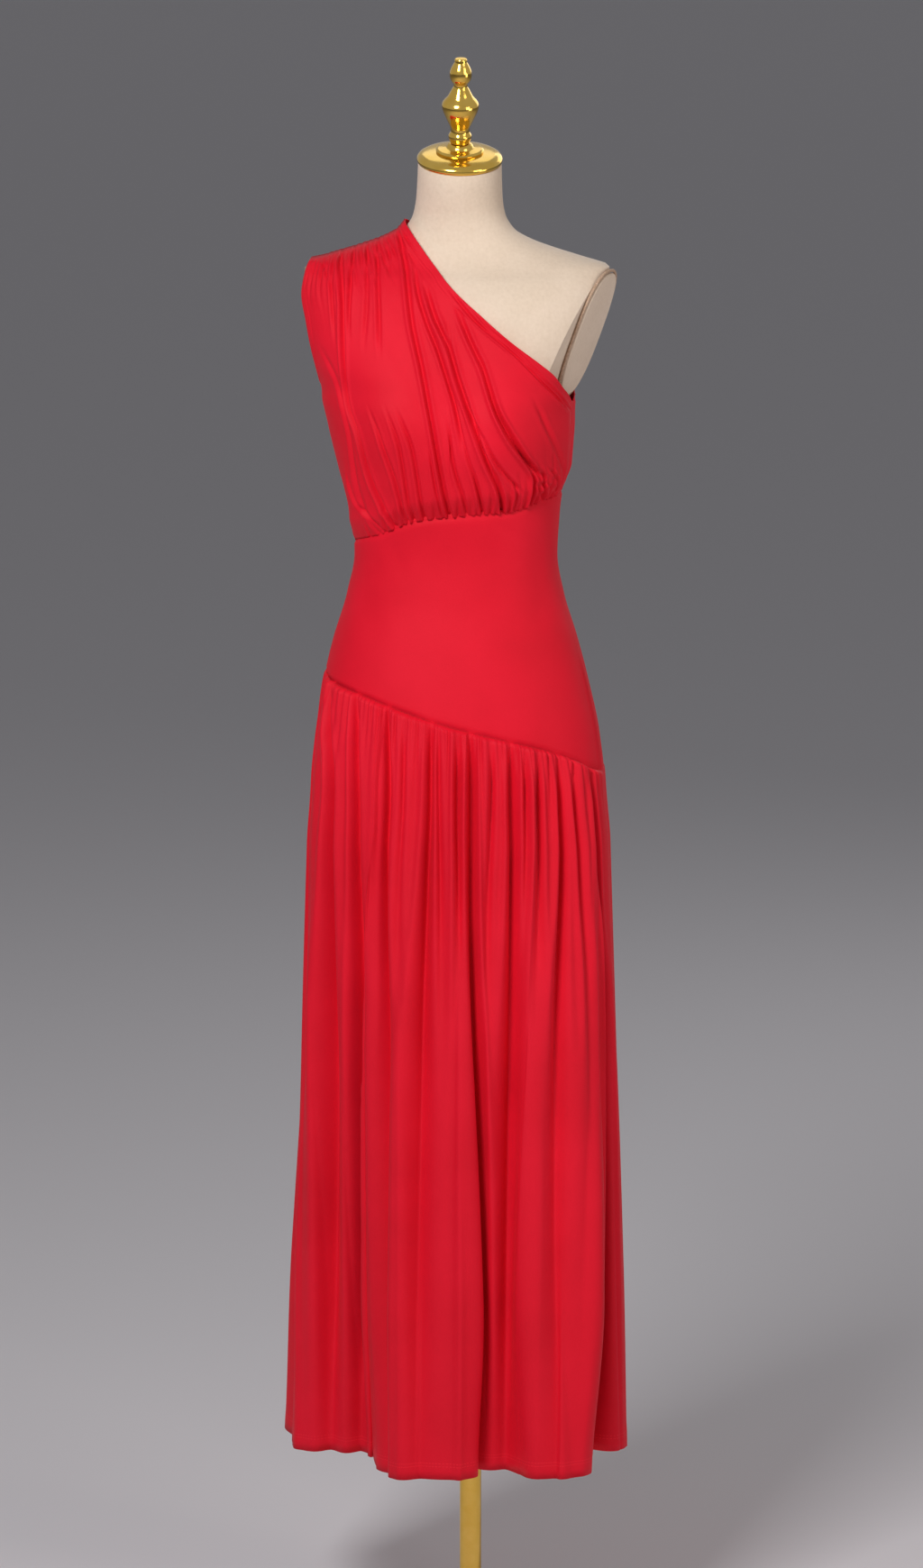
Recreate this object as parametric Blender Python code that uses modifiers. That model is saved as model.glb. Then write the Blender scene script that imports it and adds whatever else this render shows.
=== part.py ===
"""One-shoulder dress with a gathered bodice and skirt, on a limbless dress form.

Metres, +Z up. The origin is the centre of the stand's underside, on the pole's axis.
The front of the dress faces -Y, and the covered shoulder is on the -X side.
The garment and the form are set out about the body's own upright axis, which stands
a little in front of the pole. Heights are measured from the floor.
"""
import bpy
import bmesh
import numpy as np
from collections import namedtuple
from math import atan2, cos, pi, radians, sin, tan
from mathutils import Matrix, Vector

COLLECTION = "one_shoulder_dress_on_form"

# Driving dimensions
BODY_X, BODY_Y = -0.009, -0.045
WALL = 0.0016
SEAM_GAP = 0.0007
PART_GAP = 0.0003
HEM_HEIGHT, HEM_SLOPE = 0.2265, 0.022
FLARE_START, FLARE_POWER = 0.97, 1.3
BUST_X, BUST_HEIGHT = 0.078, 1.425
FORM_BUST, FORM_BUST_SPREAD = 0.024, 0.030
DRESS_BUST, DRESS_BUST_SPREAD = 0.021, 0.038
SHOULDER_LIFT, LIFT_START, LIFT_FULL = 0.0022, 1.54, 1.58
UNDERARM_PLACE, UNDERARM_HEIGHT = 0.735, 1.437
ARMHOLE_PLACE = 0.45
BLOUSE, BLOUSE_START = 0.007, 0.62
NECK_TILT, NECK_LEAN = radians(15), radians(2)
NECK_TOP = Vector((0.0015, -0.011, 1.708))
CAP_SEAT, LEAN_START = 0.0029, 1.640
FORM_SIDES, FORM_ROWS_BETWEEN = 32, (1.243, 1.287, 1.500, 1.568, 1.685)
ARM_CENTRE = Vector((0.1415, -0.003, 1.5145))
ARM_DROP, ARM_TURN = radians(20.5), radians(15)
ARM_HALF_DEPTH, ARM_HALF_HEIGHT, ARM_THICK, ARM_SQUARE = 0.044, 0.0735, 0.005, 2.6
PIPING_RADIUS, PIPING_SPARE, CUT_SPARE = 0.0018, 0.0006, 0.0015
ARM_SIDES = 28
POLE_RADIUS = 0.0125
BASE_RADIUS, BASE_THICK = 0.155, 0.009
FLANGE_RADIUS, FLANGE_THICK = 0.036, 0.006

# The form's level sections: half width, depth in front and behind, squareness
Section = namedtuple("Section", "z half front back power")
FORM = [
    Section(0.930, 0.1590, 0.1120, 0.1150, 2.2),
    Section(1.000, 0.1600, 0.1130, 0.1210, 2.2),
    Section(1.060, 0.1545, 0.1110, 0.1220, 2.2),
    Section(1.120, 0.1420, 0.1050, 0.1170, 2.2),
    Section(1.170, 0.1290, 0.0975, 0.1070, 2.15),
    Section(1.220, 0.1140, 0.0895, 0.0930, 2.1),
    Section(1.265, 0.1065, 0.0865, 0.0790, 2.1),
    Section(1.310, 0.1080, 0.0915, 0.0780, 2.1),
    Section(1.360, 0.1140, 0.0990, 0.0850, 2.15),
    Section(1.410, 0.1190, 0.1045, 0.0930, 2.2),
    Section(1.435, 0.1235, 0.1060, 0.0960, 2.2),
    Section(1.455, 0.1325, 0.1060, 0.0975, 2.2),
    Section(1.480, 0.1440, 0.1050, 0.1020, 2.4),
    Section(1.520, 0.1600, 0.0990, 0.1020, 2.5),
    Section(1.555, 0.1660, 0.0880, 0.0970, 2.5),
    Section(1.578, 0.1680, 0.0730, 0.0860, 2.4),
    Section(1.589, 0.1680, 0.0600, 0.0740, 2.3),
    Section(1.599, 0.1400, 0.0520, 0.0630, 2.2),
    Section(1.609, 0.1075, 0.0470, 0.0560, 2.1),
    Section(1.619, 0.0800, 0.0440, 0.0520, 2.05),
    Section(1.630, 0.0615, 0.0435, 0.0495, 2.0),
    Section(1.648, 0.0510, 0.0450, 0.0480, 2.0),
    Section(1.668, 0.0480, 0.0465, 0.0465, 2.0),
    Section(1.705, 0.0465, 0.0465, 0.0465, 2.0),
]

# How far the cloth's outer face stands off the form on each side
Ease = namedtuple("Ease", "z left right front back")
EASE = [
    Ease(0.200, 0.0165, 0.0165, 0.0120, 0.0120),
    Ease(0.930, 0.0110, 0.0110, 0.0070, 0.0060),
    Ease(1.010, 0.0058, 0.0046, 0.0055, 0.0050),
    Ease(1.070, 0.0062, 0.0040, 0.0050, 0.0050),
    Ease(1.120, 0.0110, 0.0038, 0.0050, 0.0050),
    Ease(1.170, 0.0125, 0.0038, 0.0055, 0.0060),
    Ease(1.220, 0.0122, 0.0038, 0.0060, 0.0080),
    Ease(1.265, 0.0115, 0.0040, 0.0065, 0.0085),
    Ease(1.310, 0.0130, 0.0050, 0.0070, 0.0090),
    Ease(1.360, 0.0200, 0.0055, 0.0085, 0.0090),
    Ease(1.410, 0.0270, 0.0065, 0.0105, 0.0080),
    Ease(1.435, 0.0285, 0.0055, 0.0105, 0.0085),
    Ease(1.455, 0.0215, 0.0050, 0.0100, 0.0085),
    Ease(1.480, 0.0180, 0.0050, 0.0090, 0.0070),
    Ease(1.520, 0.0150, 0.0050, 0.0075, 0.0055),
    Ease(1.555, 0.0140, 0.0050, 0.0060, 0.0050),
    Ease(1.578, 0.0095, 0.0050, 0.0050, 0.0045),
    Ease(1.595, 0.0050, 0.0050, 0.0045, 0.0045),
    Ease(1.650, 0.0040, 0.0040, 0.0040, 0.0040),
]

# The two slanted seams round the body, from the -X side seam (0) to the +X one (1)
SeamPoint = namedtuple("SeamPoint", "turn z")
EMPIRE_SEAM = [SeamPoint(0.0, 1.277), SeamPoint(0.25, 1.293), SeamPoint(0.40, 1.312),
               SeamPoint(0.55, 1.319), SeamPoint(0.70, 1.322), SeamPoint(0.80, 1.330),
               SeamPoint(1.0, 1.337)]
HIP_SEAM = [SeamPoint(0.0, 1.133), SeamPoint(0.25, 1.117), SeamPoint(0.50, 1.084),
            SeamPoint(0.75, 1.053), SeamPoint(0.90, 1.027), SeamPoint(1.0, 1.018)]

# The bodice's outlines from the shoulder (0) to the empire seam (1)
EdgePoint = namedtuple("EdgePoint", "place x z")
FRONT_ARMHOLE = [EdgePoint(0.0, -0.1655, 1.5955), EdgePoint(0.03, -0.1690, 1.584),
                 EdgePoint(0.09, -0.1722, 1.561), EdgePoint(0.19, -0.1663, 1.530),
                 EdgePoint(0.29, -0.1605, 1.498), EdgePoint(0.39, -0.1550, 1.467),
                 EdgePoint(ARMHOLE_PLACE, -0.1540, 1.448), EdgePoint(1.0, -0.1180, 1.277)]
BACK_ARMHOLE = [EdgePoint(0.0, -0.1655, 1.5955), EdgePoint(0.03, -0.1610, 1.585),
                EdgePoint(0.09, -0.1540, 1.561), EdgePoint(0.19, -0.1475, 1.530),
                EdgePoint(0.29, -0.1430, 1.498), EdgePoint(0.39, -0.1440, 1.4655),
                EdgePoint(ARMHOLE_PLACE, -0.1540, 1.448), EdgePoint(1.0, -0.1180, 1.277)]
FRONT_NECKLINE = [EdgePoint(0.0, -0.0600, 1.637), EdgePoint(0.07, -0.0430, 1.617),
                  EdgePoint(0.14, -0.0270, 1.597), EdgePoint(0.25, 0.0005, 1.568),
                  EdgePoint(0.36, 0.0300, 1.543), EdgePoint(0.48, 0.0650, 1.514),
                  EdgePoint(0.60, 0.0990, 1.488), EdgePoint(0.66, 0.1135, 1.474),
                  EdgePoint(0.70, 0.1210, 1.460), EdgePoint(0.72, 0.1265, 1.4485),
                  EdgePoint(UNDERARM_PLACE, 0.1288, UNDERARM_HEIGHT)]
BACK_NECKLINE = [EdgePoint(0.0, -0.0600, 1.637), EdgePoint(0.07, -0.0470, 1.620),
                 EdgePoint(0.14, -0.0310, 1.600), EdgePoint(0.25, -0.0020, 1.573),
                 EdgePoint(0.36, 0.0290, 1.548), EdgePoint(0.48, 0.0640, 1.517),
                 EdgePoint(0.60, 0.0980, 1.484), EdgePoint(0.66, 0.1125, 1.466),
                 EdgePoint(0.70, 0.1205, 1.4520), EdgePoint(0.72, 0.1262, 1.4435),
                 EdgePoint(UNDERARM_PLACE, 0.1288, UNDERARM_HEIGHT)]

# The skirt's folds from one side seam to the other. Each row is the valley that starts a
# fold: its place across the hip seam and the hem, how far the hem stands from the body's
# axis there, the small gathers that the fold takes up, and how full it hangs.
Fold = namedtuple("Fold", "hip hem reach gathers full")
SKIRT_FRONT_FOLDS = [
    Fold(-0.1510, -0.1920, 0.000, 1, 0.3), Fold(-0.1465, -0.1850, 0.016, 1, 0.5),
    Fold(-0.1345, -0.1460, 0.022, 3, 0.9), Fold(-0.1050, -0.1110, 0.028, 3, 0.9),
    Fold(-0.0780, -0.0960, 0.034, 1, 0.4), Fold(-0.0700, -0.0850, 0.098, 2, 0.9),
    Fold(-0.0490, -0.0575, 0.136, 3, 1.1), Fold(-0.0215, -0.0357, 0.141, 3, 0.8),
    Fold(0.0067, 0.0195, 0.135, 1, 0.6), Fold(0.0235, 0.0300, 0.104, 1, 1.0),
    Fold(0.0354, 0.0452, 0.102, 3, 1.0), Fold(0.0666, 0.0616, 0.102, 1, 0.8),
    Fold(0.0800, 0.0845, 0.113, 1, 1.0), Fold(0.0934, 0.1043, 0.134, 2, 1.0),
    Fold(0.1137, 0.1259, 0.137, 2, 1.0), Fold(0.1340, 0.1530, 0.124, 1, 0.5),
    Fold(0.1430, 0.1600, 0.100, 1, 0.3), Fold(0.1490, 0.1580, 0.026, 1, 0.5),
    Fold(0.1590, 0.1860, 0.016, 1, 0.3), Fold(0.1628, 0.1926, 0.000, 0, 0.0),
]
SKIRT_BACK_FOLDS = [
    Fold(-0.1510, -0.1920, 0.000, 1, 0.4), Fold(-0.1450, -0.1960, 0.040, 1, 0.6),
    Fold(-0.1300, -0.2050, 0.108, 2, 0.5), Fold(-0.1120, -0.1950, 0.132, 2, 0.8),
    Fold(-0.0900, -0.1500, 0.126, 2, 0.8), Fold(-0.0680, -0.1130, 0.086, 1, 0.6),
    Fold(-0.0540, -0.0920, 0.092, 3, 0.9), Fold(-0.0230, -0.0530, 0.146, 3, 1.0),
    Fold(0.0090, -0.0120, 0.154, 2, 0.9), Fold(0.0290, 0.0160, 0.122, 2, 0.8),
    Fold(0.0480, 0.0400, 0.116, 3, 0.9), Fold(0.0760, 0.0770, 0.148, 2, 1.0),
    Fold(0.0990, 0.1100, 0.142, 2, 0.9), Fold(0.1190, 0.1370, 0.098, 1, 0.6),
    Fold(0.1340, 0.1560, 0.094, 1, 0.8), Fold(0.1500, 0.1830, 0.060, 1, 0.5),
    Fold(0.1628, 0.1926, 0.000, 0, 0.0),
]
SKIRT_ROWS = (0.0, 0.02, 0.055, 0.12, 0.22, 0.38, 0.58, 0.79, 1.0)
GATHER_HEIGHT, GATHER_FADE = 0.0028, 0.11
PUFF_AT_HIP, PUFF_AT_KNEE, PUFF_AT_HEM = 0.09, 0.27, 0.25

# The bodice's folds, as shares of the panel's width at the shoulder, the bust and the
# empire seam, with the rise of the cloth at each, and the gathers at both seams
Drape = namedtuple("Drape", "shoulder bust waist rise_shoulder rise_bust rise_waist gathers")
BODICE_FRONT_DRAPES = [
    Drape(0.00, 0.00, 0.00, 0.0015, 0.0015, 0.0015, 2), Drape(0.12, 0.09, 0.08, 0.0030, 0.0030, 0.0025, 2),
    Drape(0.30, 0.16, 0.18, 0.0035, 0.0050, 0.0030, 2), Drape(0.44, 0.23, 0.27, 0.0030, 0.0030, 0.0030, 2),
    Drape(0.56, 0.32, 0.36, 0.0030, 0.0030, 0.0030, 2), Drape(0.68, 0.42, 0.44, 0.0035, 0.0040, 0.0035, 1),
    Drape(0.78, 0.54, 0.50, 0.0035, 0.0055, 0.0035, 2), Drape(0.86, 0.66, 0.60, 0.0030, 0.0050, 0.0030, 2),
    Drape(0.91, 0.75, 0.70, 0.0020, 0.0045, 0.0030, 2), Drape(0.94, 0.82, 0.80, 0.0020, 0.0040, 0.0030, 1),
    Drape(0.97, 0.89, 0.88, 0.0015, 0.0030, 0.0030, 2), Drape(1.00, 1.00, 1.00, 0.0, 0.0, 0.0, 0),
]
BODICE_BACK_DRAPES = [
    Drape(0.00, 0.00, 0.00, 0.0015, 0.0015, 0.0015, 2), Drape(0.14, 0.12, 0.12, 0.0030, 0.0030, 0.0030, 2),
    Drape(0.32, 0.26, 0.26, 0.0035, 0.0045, 0.0030, 2), Drape(0.50, 0.38, 0.38, 0.0030, 0.0030, 0.0030, 2),
    Drape(0.66, 0.52, 0.50, 0.0035, 0.0045, 0.0035, 2), Drape(0.80, 0.66, 0.62, 0.0035, 0.0045, 0.0030, 2),
    Drape(0.90, 0.79, 0.76, 0.0025, 0.0035, 0.0030, 2), Drape(0.96, 0.90, 0.88, 0.0015, 0.0025, 0.0030, 2),
    Drape(1.00, 1.00, 1.00, 0.0, 0.0, 0.0, 0),
]
BODICE_ROWS = (0.0, 0.012, 0.04, 0.09, 0.16, 0.25, 0.35, ARMHOLE_PLACE, 0.56, 0.66, 0.71,
               UNDERARM_PLACE, 0.83, 0.92, 0.97, 1.0)
BUST_PLACE = 0.5
SHOULDER_GATHER, WAIST_GATHER = 0.0012, 0.0022
MIDRIFF_COLUMNS, MIDRIFF_ROWS = 22, 6

# Turned parts, as (radius, height), down the outer side from top to bottom
CAP_PROFILE = [(0, .020), (.0105, .020), (.0135, .018), (.0155, .0145), (.025, .0135), (.0268, .0118),
               (.0262, .0096), (.034, .0088), (.042, .0070), (.0462, .0048), (.0478, .0020),
               (.0478, -.0008), (.0462, -.0025), (0, -.0025)]
FINIAL_PROFILE = [(0, .1190), (.0050, .1190), (.0070, .1175), (.0070, .1140), (.0085, .1115), (.0115, .1055),
                  (.0125, .0995), (.0112, .0940), (.0080, .0890), (.0080, .0860), (.0095, .0815),
                  (.0125, .0770), (.0145, .0732), (.0190, .0685), (.0207, .0640), (.0200, .0593),
                  (.0180, .0536), (.0155, .0480), (.0126, .0422), (.0105, .0375), (.0105, .0340),
                  (.0112, .0310), (.0130, .0275), (.0124, .0240), (.0110, .0203), (0, .0203)]
BASE_PROFILE = [(0, .034), (.0200, .034), (.0235, .032), (.0245, .028), (.0245, .0130), (.0290, .0100),
                (BASE_RADIUS - .006, BASE_THICK), (BASE_RADIUS, BASE_THICK - .004), (BASE_RADIUS, 0), (0, 0)]

# Plain finishes: colour, roughness, metallic
RED_JERSEY = ((0.62, 0.010, 0.024), 0.62, 0.0)
FORM_LINEN = ((0.76, 0.62, 0.49), 0.85, 0.0)
FORM_PIPING = ((0.55, 0.38, 0.26), 0.8, 0.0)
POLISHED_GOLD = ((0.83, 0.56, 0.16), 0.18, 1.0)


class Curve:
    """A smooth curve through rows of places and values that never overshoots them."""

    def __init__(self, places, values):
        self.x, self.y = np.array(places, float), np.array(values, float)
        step, rise = np.diff(self.x), np.diff(self.y)
        grade = rise / step
        same_way = grade[1:] * grade[:-1] > 0
        total = np.where(same_way, grade[1:] + grade[:-1], 1.0)
        inner = np.where(same_way, 2 * grade[1:] * grade[:-1] / total, 0.0)
        self.grade = np.concatenate([grade[:1], inner, grade[-1:]])

    def __call__(self, place):
        place = np.clip(place, self.x[0], self.x[-1])
        i = np.clip(np.searchsorted(self.x, place) - 1, 0, len(self.x) - 2)
        step = self.x[i + 1] - self.x[i]
        t = (place - self.x[i]) / step
        return ((2 * t**3 - 3 * t**2 + 1) * self.y[i] + (t**3 - 2 * t**2 + t) * step * self.grade[i]
                + (3 * t**2 - 2 * t**3) * self.y[i + 1] + (t**3 - t**2) * step * self.grade[i + 1])


def column(rows, key, value):
    """One column of a table as a curve over another."""
    return Curve([getattr(row, key) for row in rows], [getattr(row, value) for row in rows])


form = {name: column(FORM, "z", name) for name in ("half", "front", "back", "power")}
ease = {name: column(EASE, "z", name) for name in ("left", "right", "front", "back")}
empire_height = column(EMPIRE_SEAM, "turn", "z")
hip_height = column(HIP_SEAM, "turn", "z")


def smooth(t):
    t = np.clip(t, 0.0, 1.0)
    return t * t * (3 - 2 * t)


def bust(x, z, rise, spread):
    """Two soft rises, one on each side of the front."""
    away = (np.abs(x) - BUST_X)**2 + (z - BUST_HEIGHT)**2
    return rise * np.exp(-away / (2 * spread**2))


def dress_point(x, z, side):
    """A point of the dress's outer face; side is -1 in front and +1 behind."""
    z_form = z - SHOULDER_LIFT * smooth((z - LIFT_START) / (LIFT_FULL - LIFT_START))
    half = form["half"](z_form) + np.where(x < 0, ease["left"](z), ease["right"](z))
    power = form["power"](z_form)
    reach = (1 - np.clip(np.abs(x) / half, 0, 1)**power)**(1 / power)
    name = "front" if side < 0 else "back"
    depth = (form[name](z_form) + ease[name](z)) * reach
    if side < 0:
        depth = depth + bust(x, z, DRESS_BUST, DRESS_BUST_SPREAD) * reach
    return np.stack([x, side * depth, z], -1)


def dress_half(z, right):
    return form["half"](z) + ease["right" if right else "left"](z)


def dress_turn_point(turn, z, side):
    """The same face by the turn round the body, 0 at the -X side seam and 1 at the +X one."""
    across = -np.cos(pi * turn)
    half = np.where(across < 0, dress_half(z, False), dress_half(z, True))
    return dress_point(across * half, z, side)


def fold_grid(folds, least, each):
    """Panel places across, as fold number plus share, denser where a fold holds gathers."""
    places = []
    for i, fold in enumerate(folds[:-1]):
        count = max(least, each * fold.gathers)
        places += [i + k / count for k in range(count)]
    return np.array(places + [len(folds) - 1.0])


def arch(share):
    """A fold's cross-section: a narrow valley on each side of a full round ridge."""
    return np.abs(np.sin(pi * share))**0.8


def hip_turns(folds):
    """Each fold's turn round the body where it leaves the hip seam."""
    places = np.array([fold.hip for fold in folds])
    turns = np.linspace(0, 1, len(folds))
    for _ in range(6):
        half = np.where(places < 0, dress_half(hip_height(turns), False), dress_half(hip_height(turns), True))
        turns = np.arccos(np.clip(-places / half, -1, 1)) / pi
    turns[0], turns[-1] = 0.0, 1.0
    return turns


def skirt_surface(folds, across, down, side):
    """The hanging skirt without its folds' rises."""
    index = range(len(folds))
    turns = hip_turns(folds)
    turn = Curve(index, turns)(across)[:, None]
    hem_x = Curve(index, [fold.hem for fold in folds])(across)[:, None]
    reach = Curve(index, [fold.reach for fold in folds])(across)[:, None]
    hem_z = HEM_HEIGHT + HEM_SLOPE * hem_x
    top_z = hip_height(turn) - SEAM_GAP / 2
    z = top_z + (hem_z - top_z) * down[None, :]
    body = dress_turn_point(np.broadcast_to(turn, z.shape), z, side)
    flare = np.clip((FLARE_START - z) / (FLARE_START - hem_z), 0, 1)**FLARE_POWER
    hem = np.stack([np.broadcast_to(hem_x, z.shape), np.broadcast_to(side * reach, z.shape), z], -1)
    return body + (hem - body) * flare[..., None]


def skirt_rise(folds, across, down):
    """How far the folds and the gathers stand out from the skirt's surface."""
    i = np.clip(across.astype(int), 0, len(folds) - 2)
    share = (across - i)[:, None]
    gathers = np.array([fold.gathers for fold in folds])[i][:, None]
    full = np.array([fold.full for fold in folds])[i][:, None]
    widths = np.hypot(np.diff([fold.hem for fold in folds]), 0.4 * np.diff([fold.reach for fold in folds]))
    width = widths[i][:, None]
    fullness = Curve([0, 0.35, 1.0], [PUFF_AT_HIP, PUFF_AT_KNEE, PUFF_AT_HEM])(down)[None, :]
    small = GATHER_HEIGHT * np.exp(-down / GATHER_FADE)[None, :]
    return full * width * fullness * arch(share) + small * arch((share * gathers) % 1.0)


def drape_surface(drapes, armhole, neckline, across, down, side):
    """The bodice: a panel spread between its two outlines, the shoulder and the empire seam."""
    left_x, left_z = column(armhole, "place", "x"), column(armhole, "place", "z")
    neck_x, neck_z = column(neckline, "place", "x"), column(neckline, "place", "z")
    index = range(len(drapes))
    shares = np.array([Curve(index, [getattr(d, name) for d in drapes])(across)
                       for name in ("shoulder", "bust", "waist")])
    share = np.array([Curve([0, BUST_PLACE, 1.0], shares[:, k])(down) for k in range(len(across))])
    below = np.clip((down - UNDERARM_PLACE) / (1 - UNDERARM_PLACE), 0, 1)
    side_z = UNDERARM_HEIGHT + (empire_height(1.0) - UNDERARM_HEIGHT) * below
    right_x = np.where(down >= UNDERARM_PLACE, dress_half(side_z, True), neck_x(down))
    right_z = np.where(down >= UNDERARM_PLACE, side_z, neck_z(down))
    cover_x = np.where(down >= ARMHOLE_PLACE, -dress_half(left_z(down), False), left_x(down))
    waist_turn = share[:, -1]
    waist_z = empire_height(waist_turn)
    waist_x = dress_turn_point(waist_turn, waist_z, side)[:, 0]
    tip, neck = armhole[0], neckline[0]
    ridge_x = tip.x + (neck.x - tip.x) * share[:, 0]
    ridge_z = shoulder_ridge(ridge_x)
    x = cover_x * (1 - share) + right_x * share
    z = left_z(down) * (1 - share) + right_z * share
    end_x = cover_x[-1] * (1 - waist_turn) + right_x[-1] * waist_turn
    end_z = left_z(1.0) * (1 - waist_turn) + right_z[-1] * waist_turn
    start_z = tip.z * (1 - share[:, 0]) + neck.z * share[:, 0]
    x = x + down * (waist_x - end_x)[:, None]
    z = z + down * (waist_z - end_z)[:, None] + (1 - down) * (ridge_z - start_z)[:, None]
    z = z + SEAM_GAP / 2 * down**8
    points = dress_point(x, z, side)
    points[:, 0, 1] = 0.0
    return points


def shoulder_ridge(x):
    """The height of the dress's ridge line over the covered shoulder."""
    heights = np.linspace(1.592, 1.650, 30)
    halves = form["half"](heights - SHOULDER_LIFT) + ease["left"](heights)
    return np.interp(-x, halves[::-1], heights[::-1])


def drape_rise(drapes, across, down):
    """How far the bodice's folds, gathers and overhang stand out."""
    i = np.clip(across.astype(int), 0, len(drapes) - 2)
    share = (across - i)[:, None]
    rises = np.array([[d.rise_shoulder, d.rise_bust, d.rise_waist] for d in drapes])[i]
    rise = np.array([Curve([0, BUST_PLACE, 1.0], row)(down) for row in rises])
    gathers = np.array([d.gathers for d in drapes])[i][:, None]
    small = (SHOULDER_GATHER * np.exp(-down / 0.10) + WAIST_GATHER * np.exp((down - 1) / 0.12))[None, :]
    hang = smooth((down - BLOUSE_START) / 0.2) * smooth((1 - down) / 0.10)
    ends = np.minimum(smooth(across / 1.5), smooth((len(drapes) - 1 - across) / 1.5))
    return (rise * arch(share) + small * arch((share * gathers) % 1.0)
            + BLOUSE * np.outer(ends, hang))


def grid_normals(points, side):
    """Outward directions of a grid of points."""
    along, downward = np.gradient(points, axis=0), np.gradient(points, axis=1)
    normals = np.cross(downward, along) * -side
    return normals / np.linalg.norm(normals, axis=-1, keepdims=True)


def seam_normals(points, axis, outward):
    """Directions square to a seam that lies in the plane between front and back."""
    run = np.gradient(points, axis=0)
    normals = np.cross(run, axis)
    normals *= np.sign(normals @ outward)[:, None]
    return normals / np.linalg.norm(normals, axis=-1, keepdims=True)


def cloth_wall(name, points, rise, side, seams, finish):
    """A cloth panel: its outer face, an inner face one wall behind it, and closed edges."""
    normals = grid_normals(points, side)
    y_axis = Vector((0, 1, 0))
    for row in seams.get("level", ()):
        normals[:, row, 2] = 0.0
        normals[:, row] /= np.linalg.norm(normals[:, row], axis=-1, keepdims=True)
    if "left" in seams:
        rows = slice(seams["left"], None)
        normals[0, rows] = seam_normals(points[0, rows], y_axis, np.array((-1.0, 0, 0)))
        points[0, rows, 1] += side * SEAM_GAP / 2
    if "right" in seams:
        rows = slice(seams["right"], None)
        normals[-1, rows] = seam_normals(points[-1, rows], y_axis, np.array((1.0, 0, 0)))
        points[-1, rows, 1] += side * SEAM_GAP / 2
    if "top" in seams:
        normals[:, 0] = seam_normals(points[:, 0], y_axis, np.array((0, 0, 1.0)))
        points[:, 0, 1] += side * SEAM_GAP / 2
    outer = points + normals * rise[..., None]
    inner = points + normals * (rise - WALL)[..., None]
    mesh = bmesh.new()
    shift = Vector((BODY_X, BODY_Y, 0))
    sheets = [[[mesh.verts.new(Vector(p) + shift) for p in line] for line in sheet]
              for sheet in (outer, inner)]
    last_i, last_j = len(outer) - 1, len(outer[0]) - 1
    for sheet in sheets:
        for i in range(last_i):
            for j in range(last_j):
                mesh.faces.new((sheet[i][j], sheet[i][j + 1], sheet[i + 1][j + 1], sheet[i + 1][j]))
    rim = ([(i, 0) for i in range(last_i)] + [(last_i, j) for j in range(last_j)]
           + [(i, last_j) for i in range(last_i, 0, -1)] + [(0, j) for j in range(last_j, 0, -1)])
    front, behind = sheets
    for (i, j), (k, m) in zip(rim, rim[1:] + rim[:1]):
        mesh.faces.new((front[i][j], front[k][m], behind[k][m], behind[i][j]))
    bmesh.ops.recalc_face_normals(mesh, faces=mesh.faces)
    return finish_mesh(name, mesh, finish)


def finish_mesh(name, mesh, finish):
    data = bpy.data.meshes.new(name)
    mesh.to_mesh(data)
    mesh.free()
    data.shade_smooth()
    data.set_sharp_from_angle(angle=radians(50))
    return place_object(name, data, finish)


def place_object(name, data, finish):
    obj = bpy.data.objects.new(name, data)
    model.objects.link(obj)
    colour, roughness, metallic = finish
    material = bpy.data.materials.new(name)
    material.use_nodes = True
    shader = material.node_tree.nodes["Principled BSDF"]
    shader.inputs["Base Color"].default_value = (*colour, 1.0)
    shader.inputs["Roughness"].default_value = roughness
    shader.inputs["Metallic"].default_value = metallic
    data.materials.append(material)
    return obj


def make_skirt(name, folds, side, each):
    across = fold_grid(folds, 3, each)
    down = np.array(SKIRT_ROWS)
    points = skirt_surface(folds, across, down, side)
    cloth_wall(name, points, skirt_rise(folds, across, down), side,
               {"left": 0, "right": 0, "level": (0,)}, RED_JERSEY)


def make_bodice(name, drapes, armhole, neckline, side):
    across = fold_grid(drapes, 4 if side < 0 else 3, 2)
    down = np.array(BODICE_ROWS)
    points = drape_surface(drapes, armhole, neckline, across, down, side)
    seams = {"top": 0, "left": BODICE_ROWS.index(ARMHOLE_PLACE), "right": BODICE_ROWS.index(UNDERARM_PLACE),
             "level": (len(BODICE_ROWS) - 1,)}
    cloth_wall(name, points, drape_rise(drapes, across, down), side, seams, RED_JERSEY)


def make_midriff(name, side):
    """The smooth shaped band between the empire seam and the hip seam."""
    turn = np.linspace(0, 1, MIDRIFF_COLUMNS + 1)[:, None]
    down = np.linspace(0, 1, MIDRIFF_ROWS + 1)[None, :]
    top, bottom = empire_height(turn) - SEAM_GAP / 2, hip_height(turn) + SEAM_GAP / 2
    z = top + (bottom - top) * down
    points = dress_turn_point(np.broadcast_to(turn, z.shape), z, side)
    cloth_wall(name, points, np.zeros(z.shape), side,
               {"left": 0, "right": 0, "level": (0, MIDRIFF_ROWS)}, RED_JERSEY)


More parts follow.
